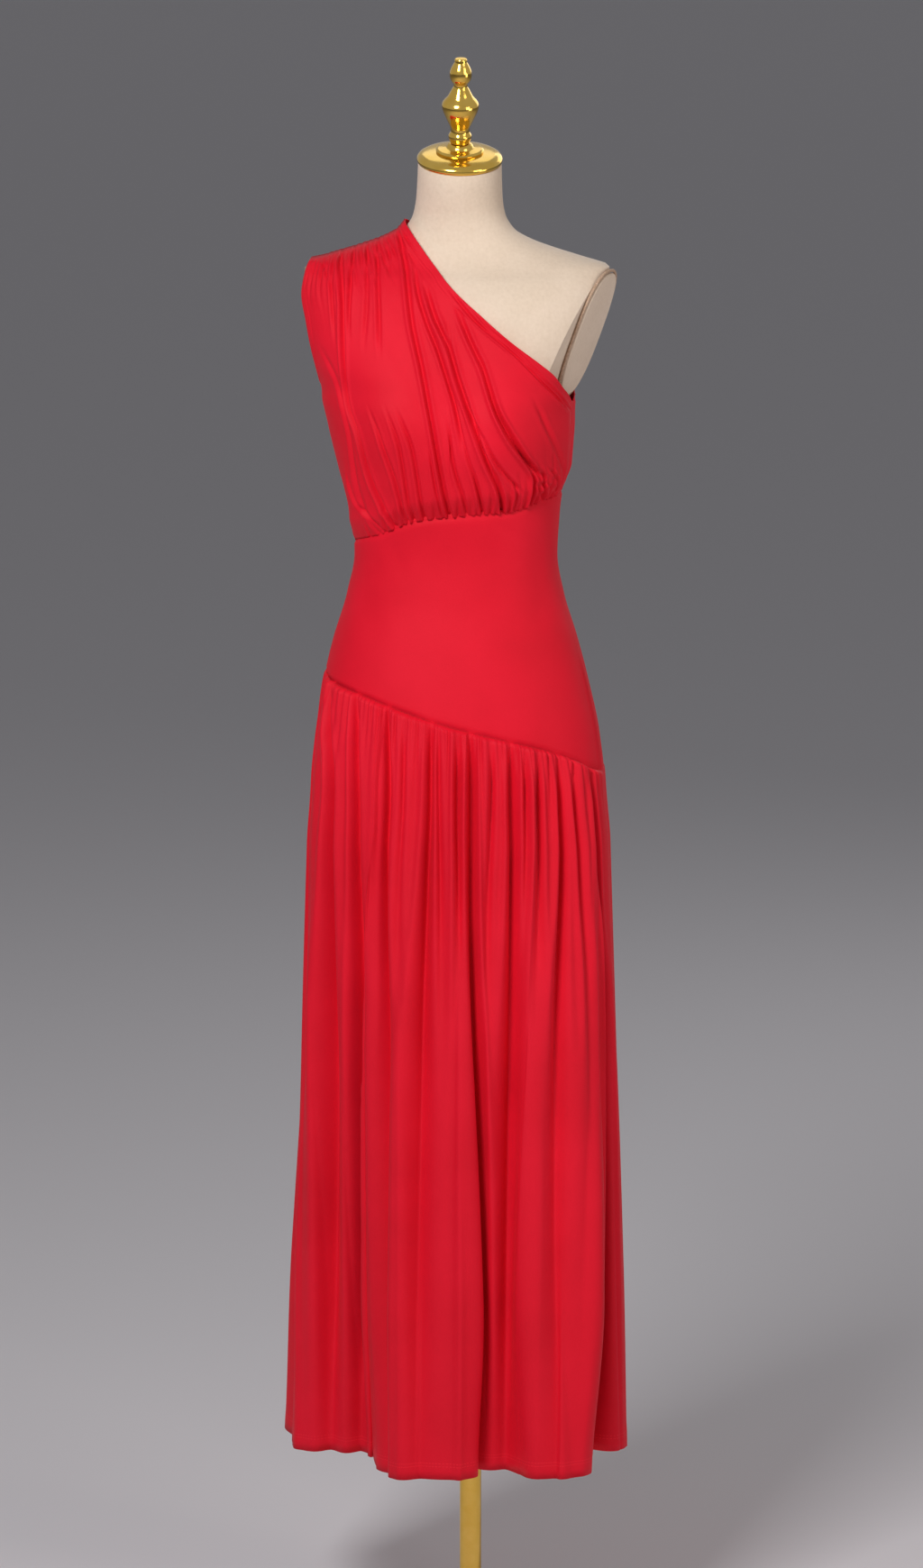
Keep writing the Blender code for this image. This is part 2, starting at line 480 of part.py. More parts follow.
def form_ring(z, mesh):
    """One section of the form; near the top it leans with the neck."""
    half, front, back, power = (float(form[k](z)) for k in ("half", "front", "back", "power"))
    neck_top = NECK_TOP.z - CAP_SEAT * cos(NECK_TILT)
    lean = float(smooth((z - LEAN_START) / (neck_top - LEAN_START)))
    ring = []
    for k in range(FORM_SIDES):
        angle = 2 * pi * k / FORM_SIDES
        x = half * np.sign(cos(angle)) * abs(cos(angle))**(2 / power)
        share = np.sign(sin(angle)) * abs(sin(angle))**(2 / power)
        y = share * (back if share > 0 else front)
        if share < 0:
            y -= float(bust(x, z, FORM_BUST, FORM_BUST_SPREAD)) * abs(share)
        y *= 1 - lean * (1 - cos(NECK_TILT))
        rise = lean * (y * tan(NECK_TILT) - x * tan(NECK_LEAN))
        ring.append(mesh.verts.new((x + lean * NECK_TOP.x + BODY_X,
                                    y + lean * (NECK_TOP.y + CAP_SEAT * sin(NECK_TILT)) + BODY_Y,
                                    z + rise)))
    return ring


def make_form():
    """The limbless torso: stacked sections from the hips to the leaning neck, cut flat at the arms."""
    mesh = bmesh.new()
    top = NECK_TOP.z - CAP_SEAT * cos(NECK_TILT)
    heights = sorted({row.z for row in FORM[:-1]} | {*FORM_ROWS_BETWEEN, top})
    rings = [form_ring(z, mesh) for z in heights]
    for low, high in zip(rings, rings[1:]):
        for k in range(FORM_SIDES):
            n = (k + 1) % FORM_SIDES
            mesh.faces.new((low[k], low[n], high[n], high[k]))
    mesh.faces.new(reversed(rings[0]))
    mesh.faces.new(rings[-1])
    torso = finish_mesh("form_torso", mesh, FORM_LINEN)
    for name, side in (("right", -1), ("left", 1)):
        cutter = arm_cutter(name, side)
        cut = torso.modifiers.new("arm_cut_" + name, "BOOLEAN")
        cut.operation, cut.object = "DIFFERENCE", cutter


def arm_frame(side):
    """The arm cut's own axes: Z out of the cut, Y up along it, at its centre."""
    out = Vector((side * cos(ARM_DROP) * cos(ARM_TURN), -cos(ARM_DROP) * sin(ARM_TURN), -sin(ARM_DROP)))
    up = (Vector((0, 0, 1)) - out * out.z).normalized()
    across = up.cross(out)
    frame = Matrix((across, up, out)).transposed().to_4x4()
    frame.translation = Vector((side * ARM_CENTRE.x + BODY_X, ARM_CENTRE.y + BODY_Y, ARM_CENTRE.z))
    return frame


def arm_oval(angle, margin):
    """A point on the arm plate's outline, or outside it by a margin."""
    x = np.sign(cos(angle)) * abs(cos(angle))**(2 / ARM_SQUARE)
    y = np.sign(sin(angle)) * abs(sin(angle))**(2 / ARM_SQUARE)
    return x * (ARM_HALF_DEPTH + margin), y * (ARM_HALF_HEIGHT + margin)


def arm_cutter(name, side):
    depth, width, height = 0.08, 0.30, 2 * ARM_HALF_HEIGHT + 0.040
    below = ARM_HALF_HEIGHT + 2 * PIPING_RADIUS + CUT_SPARE
    mesh = bmesh.new()
    bmesh.ops.create_cube(mesh, size=1.0)
    place = (Matrix.Translation((0, height / 2 - below, depth / 2))
             @ Matrix.Diagonal((width, height, depth, 1)))
    bmesh.ops.transform(mesh, matrix=arm_frame(side) @ place, verts=mesh.verts)
    data = bpy.data.meshes.new("cutter_arm_" + name)
    mesh.to_mesh(data)
    mesh.free()
    cutter = bpy.data.objects.new(data.name, data)
    cutters.objects.link(cutter)
    cutter.hide_render = True
    cutter.display_type = "WIRE"
    return cutter


def make_arm_plate(name, side):
    """The long oval cover on an arm cut, squarish at its ends, and the piping round it."""
    mesh = bmesh.new()
    bmesh.ops.create_cone(mesh, cap_ends=True, segments=ARM_SIDES, radius1=1, radius2=1, depth=ARM_THICK)
    for vert in mesh.verts:
        x, y = arm_oval(atan2(vert.co.y, vert.co.x), 0.0)
        vert.co = (x, y, vert.co.z + PART_GAP + ARM_THICK / 2)
    rims = [e for e in mesh.edges if abs(e.verts[0].co.z - e.verts[1].co.z) < 1e-6]
    bmesh.ops.bevel(mesh, geom=rims, offset=0.0015, segments=1, affect="EDGES")
    bmesh.ops.transform(mesh, matrix=arm_frame(side), verts=mesh.verts)
    finish_mesh("form_arm_plate_" + name, mesh, FORM_LINEN)

    route = bpy.data.curves.new("form_arm_piping_" + name, "CURVE")
    route.dimensions = "3D"
    route.bevel_depth = PIPING_RADIUS
    route.bevel_resolution = 1
    line = route.splines.new("POLY")
    line.points.add(ARM_SIDES - 1)
    clear = PIPING_RADIUS + PART_GAP
    for k, point in enumerate(line.points):
        x, y = arm_oval(2 * pi * k / ARM_SIDES, clear + PIPING_SPARE)
        point.co = (*(arm_frame(side) @ Vector((x, y, clear))), 1)
    line.use_cyclic_u = True
    place_object(route.name, route, FORM_PIPING)


def turned(name, profile, steps, finish, location=(0, 0, 0), tilt=(0, 0, 0)):
    """A turned part: its profile, from the axis down the outer side, spun by a Screw."""
    data = bpy.data.meshes.new(name)
    data.from_pydata([(r, 0, h) for r, h in profile], [(k, k + 1) for k in range(len(profile) - 1)], [])
    obj = place_object(name, data, finish)
    obj.location = location
    obj.rotation_euler = tilt
    spin = obj.modifiers.new("spin", "SCREW")
    spin.steps = spin.render_steps = steps
    spin.use_merge_vertices = True
    spin.merge_threshold = 0.00001
    spin.use_smooth_shade = True
    return obj


def make_stand():
    """The gold cap and finial on the neck, and the pole and base below."""
    neck = NECK_TOP + Vector((BODY_X, BODY_Y, 0))
    tilt = (NECK_TILT, NECK_LEAN, 0)
    turned("neck_cap", CAP_PROFILE, 28, POLISHED_GOLD, neck, tilt)
    turned("finial", FINIAL_PROFILE, 16, POLISHED_GOLD, neck, tilt)
    form_bottom = FORM[0].z
    flange_top = form_bottom - PART_GAP
    flange = [(0, flange_top), (FLANGE_RADIUS, flange_top), (FLANGE_RADIUS, flange_top - FLANGE_THICK),
              (0, flange_top - FLANGE_THICK)]
    turned("pole_flange", flange, 24, POLISHED_GOLD)
    top, bottom = flange_top - FLANGE_THICK - PART_GAP, BASE_PROFILE[0][1] + PART_GAP
    pole = [(0, top), (POLE_RADIUS, top), (POLE_RADIUS, bottom), (0, bottom)]
    turned("stand_pole", pole, 24, POLISHED_GOLD)
    turned("stand_base", BASE_PROFILE, 32, POLISHED_GOLD)


for old in list(bpy.data.objects):
    bpy.data.objects.remove(old)
model = bpy.data.collections.new(COLLECTION)
cutters = bpy.data.collections.new("cutters")
bpy.context.scene.collection.children.link(model)
bpy.context.scene.collection.children.link(cutters)

make_bodice("bodice_front", BODICE_FRONT_DRAPES, FRONT_ARMHOLE, FRONT_NECKLINE, -1)
make_bodice("bodice_back", BODICE_BACK_DRAPES, BACK_ARMHOLE, BACK_NECKLINE, 1)
make_midriff("midriff_front", -1)
make_midriff("midriff_back", 1)
make_skirt("skirt_front", SKIRT_FRONT_FOLDS, -1, 3)
make_skirt("skirt_back", SKIRT_BACK_FOLDS, 1, 2)
make_form()
for word, end in (("right", -1), ("left", 1)):
    make_arm_plate(word, end)
make_stand()
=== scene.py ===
from collections import namedtuple
from math import atan2, cos, pi, radians, sin, tan

import bpy
import numpy as np
from mathutils import Matrix, Vector


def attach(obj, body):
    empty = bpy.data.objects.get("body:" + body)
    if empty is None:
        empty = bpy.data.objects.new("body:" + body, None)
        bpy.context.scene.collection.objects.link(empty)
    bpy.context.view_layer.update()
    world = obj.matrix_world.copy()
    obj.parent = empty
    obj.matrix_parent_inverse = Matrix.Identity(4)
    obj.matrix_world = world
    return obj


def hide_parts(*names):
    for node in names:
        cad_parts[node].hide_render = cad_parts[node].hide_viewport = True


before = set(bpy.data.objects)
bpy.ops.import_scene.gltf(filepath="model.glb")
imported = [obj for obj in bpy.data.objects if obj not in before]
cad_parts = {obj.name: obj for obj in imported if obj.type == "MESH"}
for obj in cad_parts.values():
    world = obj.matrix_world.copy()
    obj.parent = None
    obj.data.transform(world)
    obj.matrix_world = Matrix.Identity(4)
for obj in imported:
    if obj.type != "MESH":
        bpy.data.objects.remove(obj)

bpy.ops.object.select_all(action="DESELECT")
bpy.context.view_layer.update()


def table(row, rows):
    """The rows of a table, each with its named columns."""
    return [row(*values) for values in rows]



# Where the body stands, in the row frame, and how thick the cloth is
BODY_X, BODY_Y = -0.009, -0.045
CLOTH, SEAM_ALLOWANCE, PART_GAP = 0.0012, 0.004, 0.0003
PROBE, SIDE_ROWS, TOP_ROWS = 0.002, 6, 4

# Camera: a long lens, a little to the wearer's left and above the waist
AIM = Vector((-0.0065, -0.045, 1.0))
CAMERA_AWAY, CAMERA_YAW, CAMERA_PITCH = 8.0, radians(5), radians(10)
PICTURE_HIGH, FOCAL_PIXELS, SENSOR = 1740, 7840, 36.0

# The shapes that the cloth hangs from, as the solids have them
HEM_HEIGHT, HEM_SLOPE = 0.2265, 0.022
FLARE_START, FLARE_POWER = 0.97, 1.3
BUST_X, BUST_HEIGHT = 0.078, 1.425
FORM_BUST, FORM_BUST_SPREAD = 0.024, 0.030
DRESS_BUST, DRESS_BUST_SPREAD = 0.021, 0.038
SHOULDER_LIFT, LIFT_START, LIFT_FULL = 0.0022, 1.54, 1.58
RIDGE_LOW, RIDGE_HIGH = 1.592, 1.650
UNDERARM_PLACE, UNDERARM_HEIGHT = 0.735, 1.437
ARMHOLE_PLACE = 0.45
NECK_TILT, NECK_LEAN = radians(15), radians(2)
NECK_TOP = Vector((0.0015, -0.011, 1.708))
CAP_SEAT, LEAN_START = 0.0029, 1.640
ARM_CENTRE = Vector((0.1415, -0.003, 1.5145))
ARM_DROP, ARM_TURN = radians(20.5), radians(15)
ARM_HALF_DEPTH, ARM_HALF_HEIGHT, ARM_THICK, ARM_SQUARE = 0.044, 0.0735, 0.005, 2.6
PIPING_RADIUS, PIPING_SPARE, CUT_SPARE, RIM_ROUND, OVAL_STEP = 0.0018, 0.0006, 0.0015, 0.0020, 0.01
CUT_ABOVE, CUT_WIDE, CUT_DEEP = 0.040, 0.30, 0.08
POLE_RADIUS, POLE_TOP, POLE_FOOT = 0.0125, 0.9234, 0.0343
FORM_FOOT, FOOT_ROUND, FOOT_ROUND_HIGH, FOOT_HALF, FOOT_DEEP = 0.930, 0.006, 0.004, 0.15, 0.12

# The form's level sections: half width, depth in front and behind, and squareness
Section = namedtuple("Section", "z half front back power")
FORM = table(Section, [
    (.93, .159, .112, .115, 2.2), (1, .16, .113, .121, 2.2), (1.06, .1545, .111, .122, 2.2),
    (1.12, .142, .105, .117, 2.2), (1.17, .129, .0975, .107, 2.15), (1.22, .114, .0895, .093, 2.1),
    (1.265, .1065, .0865, .079, 2.1), (1.31, .108, .0915, .078, 2.1), (1.36, .114, .099, .085, 2.15),
    (1.41, .119, .1045, .093, 2.2), (1.435, .1235, .106, .096, 2.2), (1.455, .1325, .106, .0975, 2.2),
    (1.48, .144, .105, .102, 2.4), (1.52, .16, .099, .102, 2.5), (1.555, .166, .088, .097, 2.5),
    (1.578, .168, .073, .086, 2.4), (1.589, .168, .06, .074, 2.3), (1.599, .14, .052, .063, 2.2),
    (1.609, .1075, .047, .056, 2.1), (1.619, .08, .044, .052, 2.05), (1.63, .0615, .0435, .0495, 2),
    (1.648, .051, .045, .048, 2), (1.668, .048, .0465, .0465, 2), (1.705, .0465, .0465, .0465, 2)
])

# How far the cloth's outer face stands off the form on each side
Ease = namedtuple("Ease", "z left right front back")
EASE = table(Ease, [
    (.2, .0165, .0165, .012, .012), (.93, .011, .011, .007, .006), (1.01, .0058, .0046, .0055, .005),
    (1.07, .0062, .004, .005, .005), (1.12, .011, .0038, .005, .005), (1.17, .0125, .0038, .0055, .006),
    (1.22, .0122, .0038, .006, .008), (1.265, .0115, .004, .0065, .0085), (1.31, .013, .005, .007, .009),
    (1.36, .02, .0055, .0085, .009), (1.41, .027, .0065, .0105, .008), (1.435, .0285, .0055, .0105, .0085),
    (1.455, .0215, .005, .01, .0085), (1.48, .018, .005, .009, .007), (1.52, .015, .005, .0075, .0055),
    (1.555, .014, .005, .006, .005), (1.578, .0095, .005, .005, .0045), (1.595, .005, .005, .0045, .0045),
    (1.65, .004, .004, .004, .004)
])

# The two slanted seams round the body, from the -X side seam (0) to the +X one (1)
SeamPoint = namedtuple("SeamPoint", "turn z")
EMPIRE_SEAM = table(SeamPoint, [
    (0, 1.277), (.25, 1.293), (.4, 1.312), (.55, 1.319), (.7, 1.322), (.8, 1.33), (1, 1.337)
])
HIP_SEAM = table(SeamPoint, [
    (0, 1.133), (.25, 1.117), (.5, 1.084), (.75, 1.053), (.9, 1.027), (1, 1.018)
])

# The bodice's outlines from the shoulder (0) to the empire seam (1)
EdgePoint = namedtuple("EdgePoint", "place x z")
FRONT_ARMHOLE = table(EdgePoint, [
    (0, -.1655, 1.5955), (.03, -.169, 1.584), (.09, -.1722, 1.561), (.19, -.1663, 1.53),
    (.29, -.1605, 1.498), (.39, -.155, 1.467), (ARMHOLE_PLACE, -.154, 1.448), (1, -.118, 1.277)
])
BACK_ARMHOLE = table(EdgePoint, [
    (0, -.1655, 1.5955), (.03, -.161, 1.585), (.09, -.154, 1.561), (.19, -.1475, 1.53), (.29, -.143, 1.498),
    (.39, -.144, 1.4655), (ARMHOLE_PLACE, -.154, 1.448), (1, -.118, 1.277)
])
FRONT_NECKLINE = table(EdgePoint, [
    (0, -.06, 1.637), (.07, -.043, 1.617), (.14, -.027, 1.597), (.25, .0005, 1.568), (.36, .03, 1.543),
    (.48, .065, 1.514), (.6, .099, 1.488), (.66, .1135, 1.474), (.7, .121, 1.46), (.72, .1265, 1.4485),
    (UNDERARM_PLACE, .1288, UNDERARM_HEIGHT)
])
BACK_NECKLINE = table(EdgePoint, [
    (0, -.06, 1.637), (.07, -.047, 1.62), (.14, -.031, 1.6), (.25, -.002, 1.573), (.36, .029, 1.548),
    (.48, .064, 1.517), (.6, .098, 1.484), (.66, .1125, 1.466), (.7, .1205, 1.452), (.72, .1262, 1.4435),
    (UNDERARM_PLACE, .1288, UNDERARM_HEIGHT)
])

# The skirt's shape from one side seam to the other: where each row's line runs across the
# hip seam and the hem, and how far the hem stands out there
Fold = namedtuple("Fold", "hip hem reach")
SKIRT_FRONT_FOLDS = table(Fold, [
    (-.151, -.192, 0), (-.1465, -.185, .016), (-.1345, -.146, .022), (-.105, -.111, .028),
    (-.078, -.089, .034), (-.07, -.0775, .098), (-.049, -.0575, .136), (-.0215, -.0357, .141),
    (.0067, .0125, .135), (.0235, .022, .104), (.0354, .04, .102), (.0666, .0616, .102), (.08, .0845, .113),
    (.0934, .1043, .134), (.1137, .1259, .137), (.134, .138, .124), (.143, .143, .1), (.149, .1435, .024),
    (.159, .186, .016), (.1628, .1926, 0)
])
SKIRT_BACK_FOLDS = table(Fold, [
    (-.151, -.192, 0), (-.145, -.196, .04), (-.13, -.205, .108), (-.112, -.195, .132), (-.09, -.15, .126),
    (-.068, -.113, .086), (-.054, -.092, .092), (-.023, -.053, .146), (.009, -.012, .154),
    (.029, .016, .122), (.048, .04, .116), (.076, .077, .148), (.099, .11, .142), (.119, .137, .098),
    (.134, .156, .094), (.15, .183, .06), (.1628, .1926, 0)
])
# How full the folds are at four heights down the skirt, and the widest a fold counts
FOLD_HEIGHTS, FOLD_FULLNESS, FOLD_WIDEST = (0, 0.35, 0.75, 1.0), (0.13, 0.22, 0.25, 0.13), 0.046

# The skirt's valleys between folds: points (place across in the rows above, share of the
# height down), the depth at the top and at the foot of the path, and the width likewise
VALLEY_DEPTH, VALLEY_SPREAD, SPREAD_START, SPREAD_RUN = 1.65, 0.85, 0.15, 0.5
VALLEY_WIDENS, VALLEY_CURVE = 1.3, 1.7
LEFT_BANK, RIGHT_BANK = 1.35, 0.80
NEAR_CREST, FAR_CREST = (0.60, 2.3, 1.3), (0.35, -2.6, 1.5)
TOP_SHARE, TOP_RUN, FOOT_LOSS, FOOT_START, FOOT_RUN = 0.30, 0.07, 0.5, 0.75, 0.25
FOLD_ROUND, FOLD_ROUNDER = 0.9, 0.5
Valley = namedtuple("Valley", "path deep wide")
FRONT_VALLEYS = table(Valley, [
    ([(1.92, 0), (2.5, .132), (2.51, .246), (2.46, .447), (2.28, .685), (2.01, 1)], (.007, .01),
      (.003, .011)),
    ([(2.97, 0), (3.26, .122), (3.36, .236), (3.47, .435), (3.42, .677), (2.98, 1)], (.006, .006),
      (.0028, .006)),
    ([(4.98, 0), (5.35, .108), (5.28, .224), (5.43, .423), (5.47, .659), (5.47, 1)], (.0066, .005),
      (.0028, .005)),
    ([(5.92, 0), (6.04, .102), (5.95, .218), (5.89, .5)], (.003, 0), (.0022, .004)),
    ([(6.99, 0), (7.03, .092), (6.95, .21), (6.86, .413), (6.84, .649), (6.94, 1)], (.0062, .005),
      (.003, .01)),
    ([(7.31, 0), (7.34, .088), (7.41, .206), (7.49, .55)], (.004, 0), (.0022, .0045)),
    ([(8.04, 0), (8.04, .082), (8.09, .202), (8.14, .405), (8.13, .7)], (.0056, 0), (.0026, .006)),
    ([(8.94, 0), (8.88, .078), (8.8, .198), (9.07, .405), (9.24, .649), (9.3, 1)], (.0064, .012),
      (.0028, .011)),
    ([(10.35, 0), (10.3, .072), (10.14, .194), (9.78, .6)], (.0046, 0), (.0025, .005)),
    ([(10.98, 0), (10.86, .068), (10.84, .19), (10.85, .399), (10.85, .647), (10.97, 1)], (.0066, .006),
      (.003, .0095)),
    ([(12.06, 0), (11.82, .064), (11.7, .186), (11.86, .5)], (.0036, 0), (.0024, .0045)),
    ([(13.05, 0), (12.83, .062), (12.69, .184), (12.79, .6)], (.0058, 0), (.0028, .006)),
    ([(14.09, 0), (14.01, .054), (13.95, .178), (13.7, .391), (13.7, .637), (14, 1)], (.0062, .0045),
      (.0028, .008)),
    ([(14.75, 0), (14.62, .048), (14.73, .172), (15.25, .385), (15.35, .75)], (.0048, 0), (.0026, .0055)),
    ([(16.3, 0), (16.2, .1), (16.25, .45)], (.003, 0), (.0024, .004)),
    ([(17.1, 0), (16.71, .038), (16.84, .166), (17.5, .385), (17.37, .649), (17.2, 1)], (.0066, .015),
      (.0028, .009)),
    ([(.9, 0), (1.1, .2), (1.15, .6), (1.2, 1)], (.003, .002), (.003, .008))
])
BACK_VALLEYS = table(Valley, [
    ([(1.05, 0), (1.15, .25), (1, .6), (1, 1)], (.0048, .005), (.0028, .008)),
    ([(2, 0), (2.25, .2), (2.1, .5), (2, 1)], (.0056, .003), (.0028, .008)),
    ([(3.05, 0), (3.2, .15), (3.35, .4), (3.4, .7)], (.006, 0), (.0028, .007)),
    ([(4, 0), (4.3, .2), (4.6, .45), (4.95, 1)], (.0064, .011), (.0028, .011)),
    ([(5, 0), (5.1, .12), (5.3, .42)], (.0042, 0), (.0025, .0045)),
    ([(6, 0), (6.05, .25), (6, .55), (5.95, 1)], (.0066, .008), (.0028, .01)),
    ([(6.5, 0), (6.55, .15), (6.5, .5)], (.0046, 0), (.0025, .005)),
    ([(7.05, 0), (6.95, .2), (7.1, .6), (7.15, 1)], (.006, .004), (.0028, .008)),
    ([(7.5, 0), (7.6, .18), (7.65, .6)], (.0048, 0), (.0025, .0055)),
    ([(8.2, 0), (8.3, .15), (8.25, .4)], (.0044, 0), (.0025, .0045)),
    ([(9, 0), (8.9, .22), (9.1, .55), (9.2, 1)], (.0068, .011), (.0028, .011)),
    ([(9.6, 0), (9.65, .14), (9.6, .38)], (.004, 0), (.0025, .0045)),
    ([(10.05, 0), (10.1, .2), (10.15, .55), (10.1, 1)], (.0062, .007), (.0028, .0095)),
    ([(10.6, 0), (10.65, .16), (10.55, .55)], (.0046, 0), (.0025, .005)),
    ([(11.2, 0), (11.15, .2), (11.3, .6), (11.35, 1)], (.006, .004), (.0028, .008)),
    ([(12.1, 0), (12, .18), (11.95, .5), (12, .8)], (.006, 0), (.0028, .007)),
    ([(13, 0), (13.05, .22), (13.2, .6), (13.2, 1)], (.0064, .009), (.0028, .01)),
    ([(14, 0), (14.05, .15), (14.1, .42)], (.0046, 0), (.0025, .0045)),
    ([(15, 0), (14.95, .25), (15.05, .6), (15.05, 1)], (.0056, .006), (.0028, .009))
])

# The short gathers along the hip seam: where each starts, how deep it is, and its length as
# a share of the skirt's
Gather = namedtuple("Gather", "x deep long")
FRONT_GATHERS = table(Gather, [
    (-.149, .002, .07), (-.1425, .0018, .05), (-.1375, .0016, .04), (-.13, .0022, .06), (-.124, .0018, .04),
    (-.118, .0026, .08), (-.1115, .002, .05), (-.1, .0022, .06), (-.095, .0016, .03), (-.09, .0022, .05),
    (-.085, .0026, .07), (-.079, .0018, .04), (-.074, .0022, .05), (-.065, .002, .05), (-.059, .0024, .06),
    (-.0545, .0018, .04), (-.0465, .0026, .07), (-.041, .002, .04), (-.0355, .0026, .08), (-.03, .002, .05),
    (-.0255, .0016, .03), (-.018, .0022, .05), (-.006, .002, .05), (-.001, .0024, .06), (.011, .0022, .05),
    (.0155, .0018, .04), (.02, .0026, .07), (.0285, .002, .05), (.033, .0024, .05), (.042, .002, .04),
    (.052, .0026, .07), (.0575, .002, .04), (.062, .0024, .05), (.072, .0024, .05), (.0765, .0018, .04),
    (.086, .0022, .05), (.0905, .0018, .03), (.099, .0022, .05), (.1045, .0026, .07), (.11, .0018, .04),
    (.1195, .0024, .06), (.125, .002, .05), (.13, .0018, .04), (.1375, .002, .05), (.1455, .0018, .05),
    (.1535, .002, .06), (.158, .0016, .05)
])
BACK_GATHERS = table(Gather, [
    (-.148, .0018, .06), (-.141, .002, .05), (-.135, .0024, .07), (-.125, .002, .05), (-.119, .0018, .04),
    (-.106, .0024, .06), (-.1, .002, .05), (-.095, .0016, .03), (-.084, .0022, .06), (-.078, .0024, .07),
    (-.073, .0018, .04), (-.062, .0022, .05), (-.049, .0022, .05), (-.044, .0018, .04), (-.034, .0026, .07),
    (-.029, .0018, .04), (-.017, .0022, .05), (-.012, .0018, .04), (-.001, .0024, .06), (.004, .0018, .04),
    (.009, .0022, .05), (.019, .0022, .05), (.024, .0018, .04), (.034, .0024, .06), (.043, .002, .05),
    (.054, .0024, .06), (.066, .0022, .05), (.071, .0018, .04), (.084, .0024, .06), (.089, .0018, .04),
    (.095, .0022, .05), (.107, .0024, .06), (.112, .0018, .04), (.126, .0022, .05), (.131, .0018, .04),
    (.14, .0022, .06), (.145, .0018, .04), (.156, .002, .05)
])
GATHER_DEPTH, GATHER_WIDE, SKIRT_STANDS_OFF = 1.7, 0.0015, 0.0036
GATHER_WIDENS, GATHER_RUN, GATHER_FADE, GATHER_CURVE = 0.0012, 0.1, 1.4, 1.6
GATHER_ROLL, GATHER_ROLL_WIDE = 0.25, 3

# The crease down the midriff's left side
MIDRIFF_CREASE_TURN, MIDRIFF_CREASE_TOP, MIDRIFF_CREASE_FADE = 0.957, 1.165, 0.04

